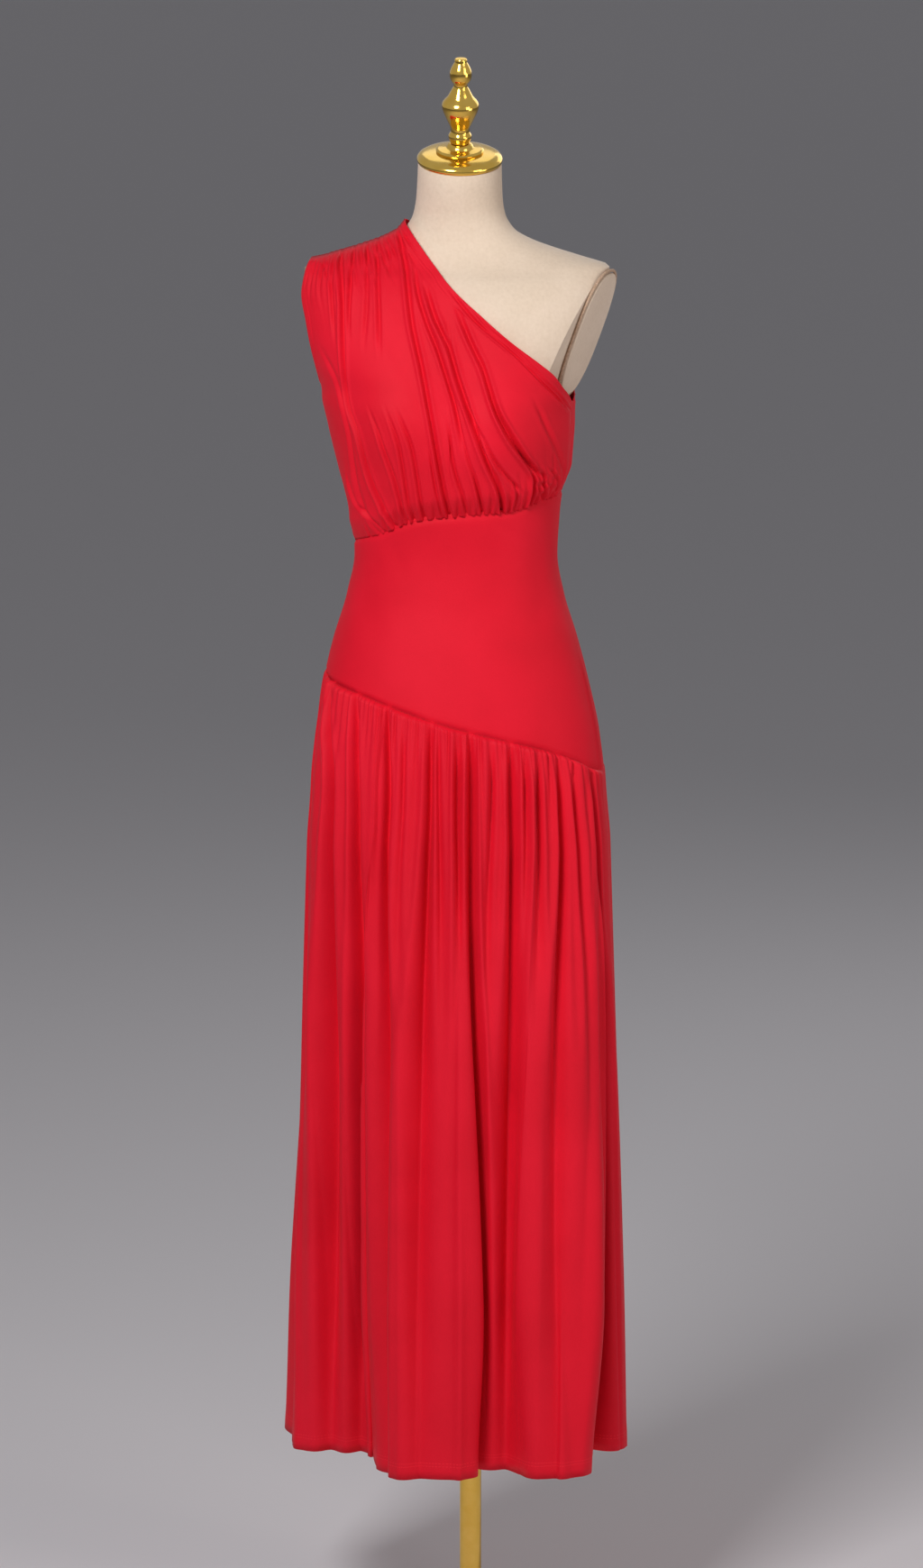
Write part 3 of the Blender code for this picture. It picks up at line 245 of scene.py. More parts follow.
# The bodice's creases: points (x, height) in the body's metres from the top down, how deep
# and how wide the crease is, the roll of cloth on its outer side, and over how much of its
# height it fades in at the top and out at the bottom
CRISPNESS, CREASE_DEPTH, CREASE_CURVE = 0.78, 1.25, 1.5
ROLL_AWAY, FAR_ROLL = 1.8, 0.6
Crease = namedtuple("Crease", "path deep wide roll lead tail")
FRONT_CREASES = table(Crease, [
    ([(-.1299, 1.6058), (-.123, 1.5546), (-.1213, 1.4987), (-.1163, 1.4484), (-.1022, 1.4079),
      (-.0872, 1.3654), (-.0659, 1.3102), (-.062, 1.295)], .005, .0032, .45, 0, 0),
    ([(-.1162, 1.615), (-.1151, 1.5781), (-.1155, 1.5437), (-.1138, 1.508)], .0036, .0026, .4, 0, .05),
    ([(-.1009, 1.618), (-.0951, 1.5557), (-.0979, 1.495)], .0026, .0028, .3, 0, .05),
    ([(-.0893, 1.622), (-.082, 1.5564), (-.0784, 1.49)], .0036, .0028, .4, 0, .05),
    ([(-.078, 1.625), (-.074, 1.6), (-.0715, 1.575)], .002, .0022, .4, 0, .03),
    ([(-.0659, 1.63), (-.0521, 1.5838), (-.0435, 1.534), (-.0313, 1.484), (-.023, 1.4416), (-.0151, 1.3938),
      (-.0047, 1.3372), (0, 1.31)], .0056, .0032, .55, 0, 0),
    ([(-.0448, 1.599), (-.0392, 1.5702), (-.0287, 1.5393), (-.0135, 1.5025), (-.001, 1.4655),
      (.0094, 1.4278), (.0184, 1.38)], .0038, .0026, .45, .03, .05),
    ([(-.0322, 1.58), (-.0189, 1.5421), (-.004, 1.5121), (.0105, 1.4705), (.025, 1.4315), (.0395, 1.3895),
      (.0524, 1.345), (.0566, 1.315)], .0058, .0032, .55, .03, 0),
    ([(-.0063, 1.545), (.0014, 1.5024), (.018, 1.4466), (.0333, 1.4195), (.0516, 1.3819), (.079, 1.34)],
      .0034, .0026, .4, .03, .02),
    ([(.002, 1.56), (.0197, 1.5195), (.0368, 1.4843), (.0524, 1.439), (.0739, 1.3969), (.0952, 1.3503),
      (.1004, 1.325)], .0052, .0032, .55, .04, 0),
    ([(-.006, 1.5733), (.0093, 1.5554), (.0263, 1.5376), (.0576, 1.5124), (.0859, 1.4862), (.1083, 1.458),
      (.1253, 1.4303)], .0026, .0022, .4, .02, .02),
    ([(.0228, 1.5507), (.0428, 1.5284), (.0668, 1.5098), (.0929, 1.4836), (.1167, 1.4515), (.127, 1.425)],
      .002, .002, .4, .02, .02),
    ([(-.1516, 1.51), (-.1307, 1.4687), (-.1159, 1.4128), (-.096, 1.3319), (-.0787, 1.285)],
      .002, .004, .3, .04, 0),
    ([(-.094, 1.45), (-.0745, 1.403), (-.059, 1.3607), (-.0483, 1.305)], .003, .0026, .4, .05, 0),
    ([(-.074, 1.45), (-.055, 1.3984), (-.0413, 1.305)], .003, .0024, .4, .05, 0),
    ([(-.0617, 1.45), (-.0407, 1.3937), (-.0285, 1.308)], .0034, .0026, .4, .05, 0),
    ([(-.0244, 1.41), (-.018, 1.3696), (-.0074, 1.31)], .0026, .0022, .35, .03, 0),
    ([(-.003, 1.435), (.0057, 1.3746), (.0126, 1.3478), (.0189, 1.31)], .0034, .0025, .4, .04, 0),
    ([(.0245, 1.385), (.0308, 1.3449), (.0353, 1.31)], .003, .0024, .4, .03, 0),
    ([(-.1161, 1.37), (-.1042, 1.333), (-.0862, 1.3128), (-.0719, 1.285)], .0026, .0028, .4, .03, 0),
    ([(.0399, 1.48), (.0519, 1.4431), (.0636, 1.4198), (.0808, 1.3852), (.1077, 1.3406)],
      .0034, .0027, .45, .04, .02),
    ([(.0882, 1.46), (.101, 1.4154), (.1105, 1.3804), (.115, 1.35)], .0024, .0042, .3, .04, .03),
    ([(.0499, 1.445), (.0675, 1.4044), (.0851, 1.3777), (.1081, 1.3506)], .0028, .0026, .4, .03, .02),
    ([(-.1395, 1.59), (-.1343, 1.5453), (-.1302, 1.505)], .0022, .0024, .4, .03, .04),
    ([(-.1538, 1.602), (-.1459, 1.5871), (-.137, 1.57)], .0022, .0022, .4, 0, .02),
    ([(-.0232, 1.535), (-.0033, 1.4746), (.0111, 1.4282), (.0308, 1.3449), (.0378, 1.31)],
      .0024, .0022, .35, .04, 0),
    ([(-.0061, 1.51), (.0108, 1.4588), (.0327, 1.4091), (.0524, 1.3546), (.0566, 1.315)],
      .0024, .0022, .35, .04, 0),
    ([(.0319, 1.51), (.0443, 1.4591), (.0591, 1.4215), (.0803, 1.3779), (.0994, 1.325)],
      .003, .0026, .4, .04, 0),
    ([(.076, 1.39), (.085, 1.364), (.085, 1.325)], .004, .0026, .6, .02, 0),
    ([(.0871, 1.385), (.0954, 1.3608), (.094, 1.33)], .0036, .0024, .6, .02, 0),
    ([(.0977, 1.38), (.1078, 1.3533), (.1095, 1.33)], .004, .0026, .6, .02, 0),
    ([(.066, 1.365), (.069, 1.345), (.068, 1.32)], .0034, .0024, .5, .02, 0)
])
BACK_CREASES = table(Crease, [
    ([(-.147, 1.596), (-.133, 1.53), (-.127, 1.45), (-.119, 1.37), (-.1, 1.27)], .0034, .0032, .4, 0, 0),
    ([(-.13, 1.6058), (-.115, 1.54), (-.105, 1.46), (-.095, 1.38), (-.072, 1.285)], .005, .0034, .5, 0, 0),
    ([(-.116, 1.615), (-.096, 1.545), (-.085, 1.47), (-.08, 1.4)], .0034, .003, .4, 0, .06),
    ([(-.103, 1.618), (-.08, 1.55), (-.06, 1.47), (-.043, 1.38), (-.026, 1.305)], .0048, .0034, .5, 0, 0),
    ([(-.09, 1.622), (-.062, 1.55), (-.042, 1.49), (-.03, 1.43)], .0034, .003, .4, 0, .06),
    ([(-.078, 1.625), (-.043, 1.55), (-.015, 1.475), (.005, 1.39), (.016, 1.31)], .0054, .0034, .55, 0, 0),
    ([(-.069, 1.629), (-.027, 1.555), (.006, 1.485), (.025, 1.42)], .0034, .003, .4, 0, .06),
    ([(-.03, 1.585), (.013, 1.52), (.042, 1.45), (.056, 1.385), (.06, 1.315)], .005, .0034, .55, .03, 0),
    ([(.005, 1.56), (.045, 1.505), (.072, 1.445), (.086, 1.39), (.09, 1.325)], .0044, .0032, .5, .03, 0),
    ([(.005, 1.563), (.036, 1.536), (.07, 1.503), (.1, 1.472), (.118, 1.448)], .0026, .0022, .4, .02, .02),
    ([(-.09, 1.41), (-.084, 1.35), (-.072, 1.285)], .0028, .0027, .4, .05, 0),
    ([(-.056, 1.41), (-.052, 1.35), (-.045, 1.3)], .003, .0027, .4, .05, 0),
    ([(-.012, 1.42), (-.008, 1.36), (-.003, 1.31)], .0032, .0027, .4, .05, 0),
    ([(.033, 1.41), (.036, 1.36), (.04, 1.315)], .0034, .0027, .4, .04, 0),
    ([(.078, 1.4), (.078, 1.36), (.076, 1.325)], .0034, .0027, .4, .04, 0),
    ([(.106, 1.42), (.107, 1.38), (.104, 1.33)], .003, .003, .4, .04, 0)
])
# Small gathers: (share of the seam, depth, length as a share of the panel)
PLEAT_WIDE, PLEAT_ROLL, PLEAT_DEPTH, PLEAT_FADE = 0.0022, 0.7, 1.5, 1.5
PLEAT_AT_SHOULDER, PLEAT_AT_SEAM, PLEAT_GROWN = 1.5, 0.15, 0.04
SHOULDER_PLEATS = [
    (.045, .0011, .05), (.085, .0013, .07), (.135, .0011, .05), (.18, .0014, .08), (.235, .0011, .05),
    (.285, .0014, .07), (.337, .0018, .08), (.38, .001, .05), (.425, .0013, .07), (.473, .0017, .08),
    (.535, .0013, .06), (.597, .0016, .08), (.655, .0011, .05), (.713, .0017, .08), (.765, .0011, .05),
    (.815, .0013, .06), (.865, .0012, .05), (.907, .0018, .08), (.95, .0012, .06), (.98, .0008, .04)
]
FRONT_WAIST_PLEATS = [
    (.205, .0009, .06), (.285, .0012, .08), (.33, .0013, .09), (.352, .001, .06), (.386, .0012, .08),
    (.416, .0011, .07), (.45, .0013, .08), (.486, .0011, .06), (.52, .0014, .09), (.56, .0012, .07),
    (.58, .001, .05), (.622, .0014, .09), (.643, .0012, .06), (.682, .0014, .08), (.716, .0014, .1),
    (.738, .0012, .06), (.762, .0015, .1), (.782, .0013, .07), (.812, .0014, .08), (.845, .0016, .1),
    (.866, .0013, .06), (.905, .0014, .08), (.925, .001, .05), (.965, .0009, .05)
]
BACK_WAIST_PLEATS = [
    (.06, .0009, .06), (.11, .0011, .08), (.205, .0012, .07), (.262, .0012, .08), (.32, .0012, .07),
    (.395, .0013, .09), (.465, .0012, .07), (.53, .0013, .08), (.605, .0013, .08), (.69, .0013, .08),
    (.77, .0014, .09), (.86, .0013, .08), (.92, .0011, .06), (.965, .0009, .05)
]

# The bodice's rows lie closer at its ends, it blouses over the empire seam, and its edges are
# turned, stitched and pressed in
ROWS_DRAWN_IN, BODICE_RISE, CREASE_GROWN = 0.06, 0.0010, 0.03
BLOUSE, BLOUSE_START, BLOUSE_RUN, BLOUSE_END = 0.0085, 0.60, 0.22, 0.085
BLOUSE_FROM_SIDES = (0.14, 0.08)
STRETCH_FROM, STRETCH_TO, STRETCH_STEP, STRETCH_MOST = -0.150, 0.128, 0.001, 2.0
FORM_CLEAR, BODICE_ROOM, SKIRT_ROOM = 0.0020, 0.0022, 0.0025
EDGE_RAMP, EDGE_STITCH, EDGE_STITCH_AT, EDGE_STITCH_WIDE = 0.0015, 0.0004, 0.8, 0.0009
EDGE_END, EDGE_FADE, EDGE_BLEND = 0.005, 0.004, 0.02
NECK_EDGE, ARM_EDGE = (0.011, 0.0007), (0.009, 0.0006)
WAIST_TUCK, PANEL_LONG, WAIST_TUCK_WIDE = 0.0022, 0.17, 0.0026
UNDERARM_PRESS, UNDERARM_WIDE, SIDE_CALM = 0.0040, 0.016, 0.4

# The midriff's seams pressed in with small puckers, and its soft drag lines in front as
# (top x, top height, foot x, foot height, depth, width)
TOP_TUCK, TOP_TUCK_WIDE, TUCK_START, TUCK_RUN = 0.0022, 0.006, 0.001, 0.3
FOOT_TUCK, FOOT_TUCK_MORE, FOOT_TUCK_WIDE = 0.0014, 0.0008, 0.005
PUCKER, PUCKER_WIDE, PUCKER_WAVES = 0.00035, 0.006, (233, 131)
DRAG_LINES = (
    (0.050, 1.318, 0.075, 1.280, 0.0010, 0.008), (-0.075, 1.300, -0.050, 1.235, 0.0006, 0.010),
    (0.092, 1.300, 0.098, 1.180, 0.0008, 0.012), (-0.105, 1.25, -0.085, 1.16, 0.0005, 0.012)
)
DRAG_FADES = (0.02, 0.03)
DRAG_ROLL, SIDE_CREASE, SIDE_CREASE_WIDE, SIDE_CREASE_ROLL = 0.6, 0.0026, 0.0020, 0.7

# The skirt at its side seams, at the hip seam, below the form and at its hem
SIDE_FADE, SIDE_SHARE, ROWS_DRAWN_UP = 2.4, 0.12, 1.35
HIP_TUCK, HIP_TUCK_MORE, HIP_TUCK_WIDE = 0.0014, 0.0009, 0.0024
SEAM_FADE, SEAM_SHARE = 0.008, 0.45
HOLLOW_ROOM, HOLLOW_START, HOLLOW_RUN = 0.020, 0.02, 0.08
HEM_TURN_UP, HEM_LAYER, HEM_RAMP = 0.020, 0.0004, 0.001
HEM_STITCHES, STITCH_DEEP, STITCH_WIDE = (0.0185, 0.0150), 0.0005, 0.0008

# The knit's, the weave's and the hem thread's own measures
WALE, COURSE, WEAVE, STITCH_LONG, THREAD_HALF = 0.0009, 0.0007, 0.0011, 0.0032, 0.00045

# Turned parts as (radius, height), from the axis down the outer side and back to it
CAP_PROFILE = [
    (0, .02), (.0095, .02), (.0128, .0192), (.0145, .0172), (.0153, .0148), (.017, .0142), (.0235, .0137),
    (.0258, .013), (.0268, .0118), (.0266, .0104), (.0262, .0096), (.029, .0093), (.034, .0088),
    (.039, .0078), (.043, .0066), (.0462, .0046), (.0476, .0024), (.0478, .0004), (.0474, -.0012),
    (.0462, -.0025), (0, -.0025)
]
FINIAL_PROFILE = [
    (0, .119), (.004, .1189), (.0062, .1183), (.007, .117), (.0068, .1152), (.0072, .1138), (.0085, .1115),
    (.0105, .1078), (.0119, .104), (.0125, .0998), (.0121, .0962), (.0108, .093), (.0092, .0908),
    (.0079, .0892), (.0077, .0868), (.0083, .085), (.0098, .0826), (.0113, .0795), (.0127, .077),
    (.0136, .075), (.0153, .0727), (.018, .07), (.0199, .0671), (.0207, .064), (.0205, .061),
    (.0196, .0578), (.0183, .0542), (.0166, .0505), (.0148, .0465), (.0131, .043), (.0116, .04),
    (.0107, .0372), (.0105, .0345), (.0109, .0325), (.0118, .031), (.0127, .0295), (.013, .0275),
    (.0127, .0256), (.0119, .0238), (.0112, .022), (.011, .0203), (0, .0203)
]
BASE_PROFILE = [
    (0, .034), (.02, .034), (.0222, .0334), (.0235, .0322), (.0242, .0302), (.0245, .027), (.0245, .0145),
    (.0252, .0122), (.0272, .0106), (.031, .01), (.144, .0091), (.15, .0089), (.153, .008), (.1546, .0062),
    (.155, .004), (.155, .0008), (.1542, 0), (0, 0)
]
FLANGE_PROFILE = [
    (0, .9297), (.035, .9297), (.036, .9287), (.036, .9247), (.035, .9237), (0, .9237)
]
POLE_PROFILE = [(0, POLE_TOP), (.0119, POLE_TOP), (POLE_RADIUS, POLE_TOP - .0006),
                (POLE_RADIUS, POLE_FOOT + .0006), (.0119, POLE_FOOT), (0, POLE_FOOT)]


class Curve:
    """A smooth curve through rows of places and values that never overshoots them."""

    def __init__(self, places, values):
        self.x, self.y = np.array(places, float), np.array(values, float)
        step, rise = np.diff(self.x), np.diff(self.y)
        grade = rise / step
        same_way = grade[1:] * grade[:-1] > 0
        total = np.where(same_way, grade[1:] + grade[:-1], 1.0)
        inner = np.where(same_way, 2 * grade[1:] * grade[:-1] / total, 0.0)
        self.grade = np.concatenate([grade[:1], inner, grade[-1:]])

    def __call__(self, place):
        place = np.clip(place, self.x[0], self.x[-1])
        i = np.clip(np.searchsorted(self.x, place) - 1, 0, len(self.x) - 2)
        step = self.x[i + 1] - self.x[i]
        t = (place - self.x[i]) / step
        return ((2 * t**3 - 3 * t**2 + 1) * self.y[i] + (t**3 - 2 * t**2 + t) * step * self.grade[i]
                + (3 * t**2 - 2 * t**3) * self.y[i + 1] + (t**3 - t**2) * step * self.grade[i + 1])


def column(rows, key, value):
    """A table's column as a curve over another column."""
    return Curve([getattr(row, key) for row in rows], [getattr(row, value) for row in rows])


form = {name: column(FORM, "z", name) for name in ("half", "front", "back", "power")}
ease = {name: column(EASE, "z", name) for name in ("left", "right", "front", "back")}
empire_height = column(EMPIRE_SEAM, "turn", "z")
hip_height = column(HIP_SEAM, "turn", "z")


def smooth(t):
    t = np.clip(t, 0.0, 1.0)
    return t * t * (3 - 2 * t)


def bust(x, z, rise, spread):
    away = (np.abs(x) - BUST_X)**2 + (z - BUST_HEIGHT)**2
    return rise * np.exp(-away / (2 * spread**2))


def dress_point(x, z, side):
    """A point of the dress's outer face; side is -1 in front and +1 behind."""
    z_form = z - SHOULDER_LIFT * smooth((z - LIFT_START) / (LIFT_FULL - LIFT_START))
    half = form["half"](z_form) + np.where(x < 0, ease["left"](z), ease["right"](z))
    power = form["power"](z_form)
    reach = (1 - np.clip(np.abs(x) / half, 0, 1)**power)**(1 / power)
    name = "front" if side < 0 else "back"
    depth = (form[name](z_form) + ease[name](z)) * reach
    if side < 0:
        depth = depth + bust(x, z, DRESS_BUST, DRESS_BUST_SPREAD) * reach
    return np.stack([x, side * depth, z], -1)


def dress_half(z, right):
    return form["half"](z) + ease["right" if right else "left"](z)


def dress_turn_point(turn, z, side):
    """The same face by the turn round the body, 0 at the -X side seam and 1 at the +X one."""
    across = -np.cos(pi * turn)
    half = np.where(across < 0, dress_half(z, False), dress_half(z, True))
    return dress_point(across * half, z, side)


def shoulder_ridge(x):
    """The height of the shoulder's top line at each place across."""
    heights = np.linspace(RIDGE_LOW, RIDGE_HIGH, 60)
    halves = form["half"](heights - SHOULDER_LIFT) + ease["left"](heights)
    return np.interp(-x, halves[::-1], heights[::-1])


def metres_across(points):
    """How many metres one step of the grid's columns is, at each point."""
    return np.linalg.norm(np.gradient(points, axis=0), axis=-1)


def bell(distance, middle=0.0, width=1.0):
    """A soft bump of height 1 round a middle."""
    return np.exp(-((distance - middle) / width)**2)


def valley(distance, roll):
    """A crease's cross-section: a narrow valley with a soft roll of cloth on each side."""
    crests = bell(distance, -ROLL_AWAY) + FAR_ROLL * bell(distance, ROLL_AWAY)
    return roll * crests - np.exp(-np.abs(distance)**CREASE_CURVE)


def press_crease(rise, points, stretch, crease):
    """Presses one crease into a panel's rise, along its path over the body."""
    path = crease.path[::-1]
    line = Curve([z for _, z in path], [x for x, _ in path])
    x, z = points[..., 0], points[..., 2]
    slope = (line(z + PROBE) - line(z - PROBE)) / (2 * PROBE)
    distance = (x - line(z)) * stretch / np.sqrt(1 + (slope * stretch)**2) / (CRISPNESS * crease.wide)
    fade = np.ones(z.shape)
    if crease.lead:
        fade = fade * smooth((path[-1][1] - z) / crease.lead)
    if crease.tail:
        fade = fade * smooth((z - path[0][1]) / crease.tail)
    rise += CREASE_DEPTH * crease.deep * fade * valley(distance, crease.roll)


def press_pleats(rise, share, down, per_share, pleats, at_top):
    """Presses the short pleats that a gathered seam makes."""
    away = down if at_top else 1 - down
    for place, deep, length in pleats:
        fade = np.exp(-(away / length)**PLEAT_FADE)
        if at_top:
            grown = PLEAT_AT_SEAM + (1 - PLEAT_AT_SEAM) * smooth(away / PLEAT_GROWN)
            fade = PLEAT_AT_SHOULDER * fade * grown
        distance = (share - place)[:, None] * per_share / PLEAT_WIDE
        rise += PLEAT_DEPTH * deep * fade[None, :] * valley(distance, PLEAT_ROLL)


def bodice_surface(armhole, neckline, share, down, side):
    """The bodice without its folds, spread between its outlines, the shoulder and the seam."""
    left_x, left_z = column(armhole, "place", "x"), column(armhole, "place", "z")
    neck_x, neck_z = column(neckline, "place", "x"), column(neckline, "place", "z")
    below = np.clip((down - UNDERARM_PLACE) / (1 - UNDERARM_PLACE), 0, 1)
    side_z = UNDERARM_HEIGHT + (empire_height(1.0) - UNDERARM_HEIGHT) * below
    right_x = np.where(down >= UNDERARM_PLACE, dress_half(side_z, True), neck_x(down))
    right_z = np.where(down >= UNDERARM_PLACE, side_z, neck_z(down))
    cover_x = np.where(down >= ARMHOLE_PLACE, -dress_half(left_z(down), False), left_x(down))
    waist_z = empire_height(share)
    waist_x = dress_turn_point(share, waist_z, side)[:, 0]
    tip, neck = armhole[0], neckline[0]
    ridge_z = shoulder_ridge(tip.x + (neck.x - tip.x) * share)
    x = cover_x[None, :] * (1 - share[:, None]) + right_x[None, :] * share[:, None]
    z = left_z(down)[None, :] * (1 - share[:, None]) + right_z[None, :] * share[:, None]
    end_x = cover_x[-1] * (1 - share) + right_x[-1] * share
    end_z = left_z(1.0) * (1 - share) + right_z[-1] * share
    start_z = tip.z * (1 - share) + neck.z * share
    x = x + down[None, :] * (waist_x - end_x)[:, None]
    z = (z + down[None, :] * (waist_z - end_z)[:, None]
         + (1 - down)[None, :] * (ridge_z - start_z)[:, None])
    points = dress_point(x, z, side)
    points[:, 0, 1] = 0.0
    for edge, rows, right in ((0, down >= ARMHOLE_PLACE, False), (-1, down >= UNDERARM_PLACE, True)):
        points[edge, rows, 0] = dress_half(z[edge, rows], right) * (1 if right else -1)
        points[edge, rows, 1] = 0.0
    return points


def hip_turns(folds):
    """Where each fold starts on the hip seam, as a turn round the body."""
    places = np.array([fold.hip for fold in folds])
    turns = np.linspace(0, 1, len(folds))
    for _ in range(6):
        half = np.where(places < 0, dress_half(hip_height(turns), False), dress_half(hip_height(turns), True))
        turns = np.arccos(np.clip(-places / half, -1, 1)) / pi
    turns[0], turns[-1] = 0.0, 1.0
    return turns


def skirt_surface(folds, across, down, side):
    """The hanging skirt without its folds' rises."""
    index = range(len(folds))
    turn = Curve(index, hip_turns(folds))(across)[:, None]
    hem_x = Curve(index, [fold.hem for fold in folds])(across)[:, None]
    reach = Curve(index, [fold.reach for fold in folds])(across)[:, None]
    hem_z = HEM_HEIGHT + HEM_SLOPE * hem_x
    top_z = hip_height(turn)
    z = top_z + (hem_z - top_z) * down[None, :]
    body = dress_turn_point(np.broadcast_to(turn, z.shape), z, side)
    flare = np.clip((FLARE_START - z) / (FLARE_START - hem_z), 0, 1)**FLARE_POWER
    hem = np.stack([np.broadcast_to(hem_x, z.shape), np.broadcast_to(side * reach, z.shape), z], -1)
    return body + (hem - body) * flare[..., None]


def valley_line(path, down):
    """Where a valley runs across the skirt at each height."""
    return Curve([at for _, at in path], [place for place, _ in path])(down)


def skirt_rise(folds, valleys, gathers, across, down, points, side):
    """How far the folds and the seam's gathers stand out from the skirt's surface."""
    per_fold = metres_across(points) / np.gradient(across)[:, None]
    place, last = across[:, None], len(folds) - 1
    long_lines = [valley_line(path, down) for path, _, _ in valleys if path[-1][1] == 1]
    bounds = np.array([0 * down, *sorted(long_lines, key=lambda line: line[0]), 0 * down + last])
    fullness = Curve(FOLD_HEIGHTS, FOLD_FULLNESS)(down)[None, :]
    rise = np.zeros(per_fold.shape)
    for left, right in zip(bounds[:-1], bounds[1:]):
        share = np.clip((place - left) / (right - left), 0, 1)
        width = np.minimum(per_fold * (right - left), FOLD_WIDEST)
        rise += fullness * width * np.sin(pi * share)**(FOLD_ROUND + FOLD_ROUNDER * down)
    for path, deep, wide in valleys:
        start, end = path[0][1], path[-1][1]
        along = np.clip((down - start) / (end - start), 0, 1)
        widths = wide[0] + (wide[1] - wide[0]) * along**VALLEY_WIDENS
        widths = widths * (1 + VALLEY_SPREAD * smooth((down - SPREAD_START) / SPREAD_RUN))
        distance = (place - valley_line(path, down)) * per_fold / widths
        steep = np.where(distance * side < 0, LEFT_BANK, RIGHT_BANK)
        depth = VALLEY_DEPTH * (deep[0] + (deep[1] - deep[0]) * smooth(along))
        grown = ((TOP_SHARE + (1 - TOP_SHARE) * smooth(down / TOP_RUN))
                 * (1 - FOOT_LOSS * smooth((down - FOOT_START) / FOOT_RUN)))
        crests = sum(high * bell(distance * side, away, wide) for high, away, wide in (NEAR_CREST, FAR_CREST))
        rise += depth * grown * (crests - np.exp(-(np.abs(distance) / steep)**VALLEY_CURVE))
    seam = Curve([fold.hip for fold in folds], range(len(folds)))
    for gather in gathers:
        fade = np.exp(-(down / gather.long)**GATHER_FADE)
        wide = GATHER_WIDE + GATHER_WIDENS * np.clip(down / GATHER_RUN, 0, 1)
        distance = (place - seam(gather.x)) * per_fold / wide
        shape = (GATHER_ROLL * bell(distance, 0, GATHER_ROLL_WIDE)
                 - np.exp(-np.abs(distance)**GATHER_CURVE))
        rise += GATHER_DEPTH * gather.deep * fade * shape
    return rise


def outward(points, side):
    """Directions square to a panel, away from the body."""
    along, downward = np.gradient(points, axis=0), np.gradient(points, axis=1)
    normals = np.cross(downward, along) * -side
    return normals / np.maximum(np.linalg.norm(normals, axis=-1, keepdims=True), 1e-9)


def seam_outward(points, rough):
    """Directions square to a seam that lies in the plane between front and back."""
    run = np.gradient(points, axis=0)
    normals = np.cross(run, (0, 1.0, 0))
    normals *= np.sign(normals @ rough)[:, None]
    return normals / np.linalg.norm(normals, axis=-1, keepdims=True)


def ease_into(normals, seam, count):
    """Turns the first rows of directions gradually into the seam's own."""
    for k in range(count):
        mix = 1 - k / count
        normals[k] = normals[k] * (1 - mix) + seam * mix
        normals[k] /= np.linalg.norm(normals[k], axis=-1, keepdims=True)


def new_piece(name, points, faces):
    mesh = bpy.data.meshes.new(name)
    mesh.from_pydata(points.reshape(-1, 3).tolist(), [], faces)
    piece = bpy.data.objects.new(name, mesh)
    bpy.context.scene.collection.objects.link(piece)
    return piece


def act_on(piece, operator, **settings):
    """Runs one operator on one piece alone."""
    bpy.ops.object.select_all(action="DESELECT")
    bpy.context.view_layer.objects.active = piece
    piece.select_set(True)
    operator(**settings)
    piece.select_set(False)


def apply_modifier(piece, modifier):
    act_on(piece, bpy.ops.object.modifier_apply, modifier=modifier.name)


def set_in_place(piece, place):
    """Moves a piece to its place and lets its own axes be the row frame's."""
    piece.matrix_world = place
    act_on(piece, bpy.ops.object.transform_apply, location=True, rotation=True, scale=True)


def smooth_flanks(piece, angle):
    """Shades a piece smooth, but for the edges sharper than an angle."""
    act_on(piece, bpy.ops.object.shade_smooth_by_angle, angle=angle)


def sew_panel(name, points, rise, side, left=0, right=0, top=False):
    """Makes a panel of cloth from its grid: a thin shell with the cloth's own flat measures as UV."""
    normals = outward(points, side)
    ease_into(normals[:, left:], seam_outward(points[0, left:], (-1.0, 0, 0)), SIDE_ROWS)
    ease_into(normals[::-1, right:], seam_outward(points[-1, right:], (1.0, 0, 0)), SIDE_ROWS)
    if top:
        ease_into(normals.transpose(1, 0, 2), seam_outward(points[:, 0], (0, 0, 1.0)), TOP_ROWS)
    cloth = points + normals * rise[..., None] + np.array((BODY_X, BODY_Y, 0))
    columns, rows = cloth.shape[:2]
    number = np.arange(columns * rows).reshape(columns, rows)
    corners = (number[:-1, :-1], number[:-1, 1:], number[1:, 1:], number[1:, :-1])
    faces = np.stack([c.ravel() for c in (corners if side < 0 else corners[::-1])], -1)
    panel = new_piece(name, cloth, faces.tolist())
    mesh = panel.data
    flat_u = np.concatenate([[0], np.cumsum(np.linalg.norm(np.diff(cloth, axis=0), axis=-1).mean(axis=1))])
    lengths = np.linalg.norm(np.diff(cloth, axis=1), axis=-1)
    flat_v = np.concatenate([np.cumsum(lengths[:, ::-1], axis=1)[:, ::-1], np.zeros((columns, 1))], axis=1)
    u = np.broadcast_to(flat_u[:, None], (columns, rows)).ravel()
    uv = np.stack([u, flat_v.ravel()], -1)
    layer = mesh.uv_layers.new(name="flat_cloth")
    loops = np.empty(len(mesh.loops), int)
    mesh.loops.foreach_get("vertex_index", loops)
    layer.data.foreach_set("uv", uv[loops].ravel())
    mesh.shade_smooth()
    wall = panel.modifiers.new("cloth_thickness", "SOLIDIFY")
    wall.thickness, wall.offset, wall.use_even_offset = CLOTH, -1.0, False
    apply_modifier(panel, wall)
    return panel


def turned_edge(distance, width, rise):
    """The double layer of a turned and stitched edge, with its stitch line pressed in."""
    layer = rise * smooth((width - distance) / EDGE_RAMP + 1)
    stitch = EDGE_STITCH * bell(distance, width * EDGE_STITCH_AT, EDGE_STITCH_WIDE)
    return (layer - stitch) * smooth((width + EDGE_END - distance) / EDGE_FADE)


def keep_off_form(rise, z, side, least, extra=0.0):
    """Eases the deepest valleys so that the cloth stays off the form."""
    room = np.maximum(ease["front" if side < 0 else "back"](z) - FORM_CLEAR, least) + extra
    return np.where(rise < 0, -room * np.tanh(-rise / room), rise)


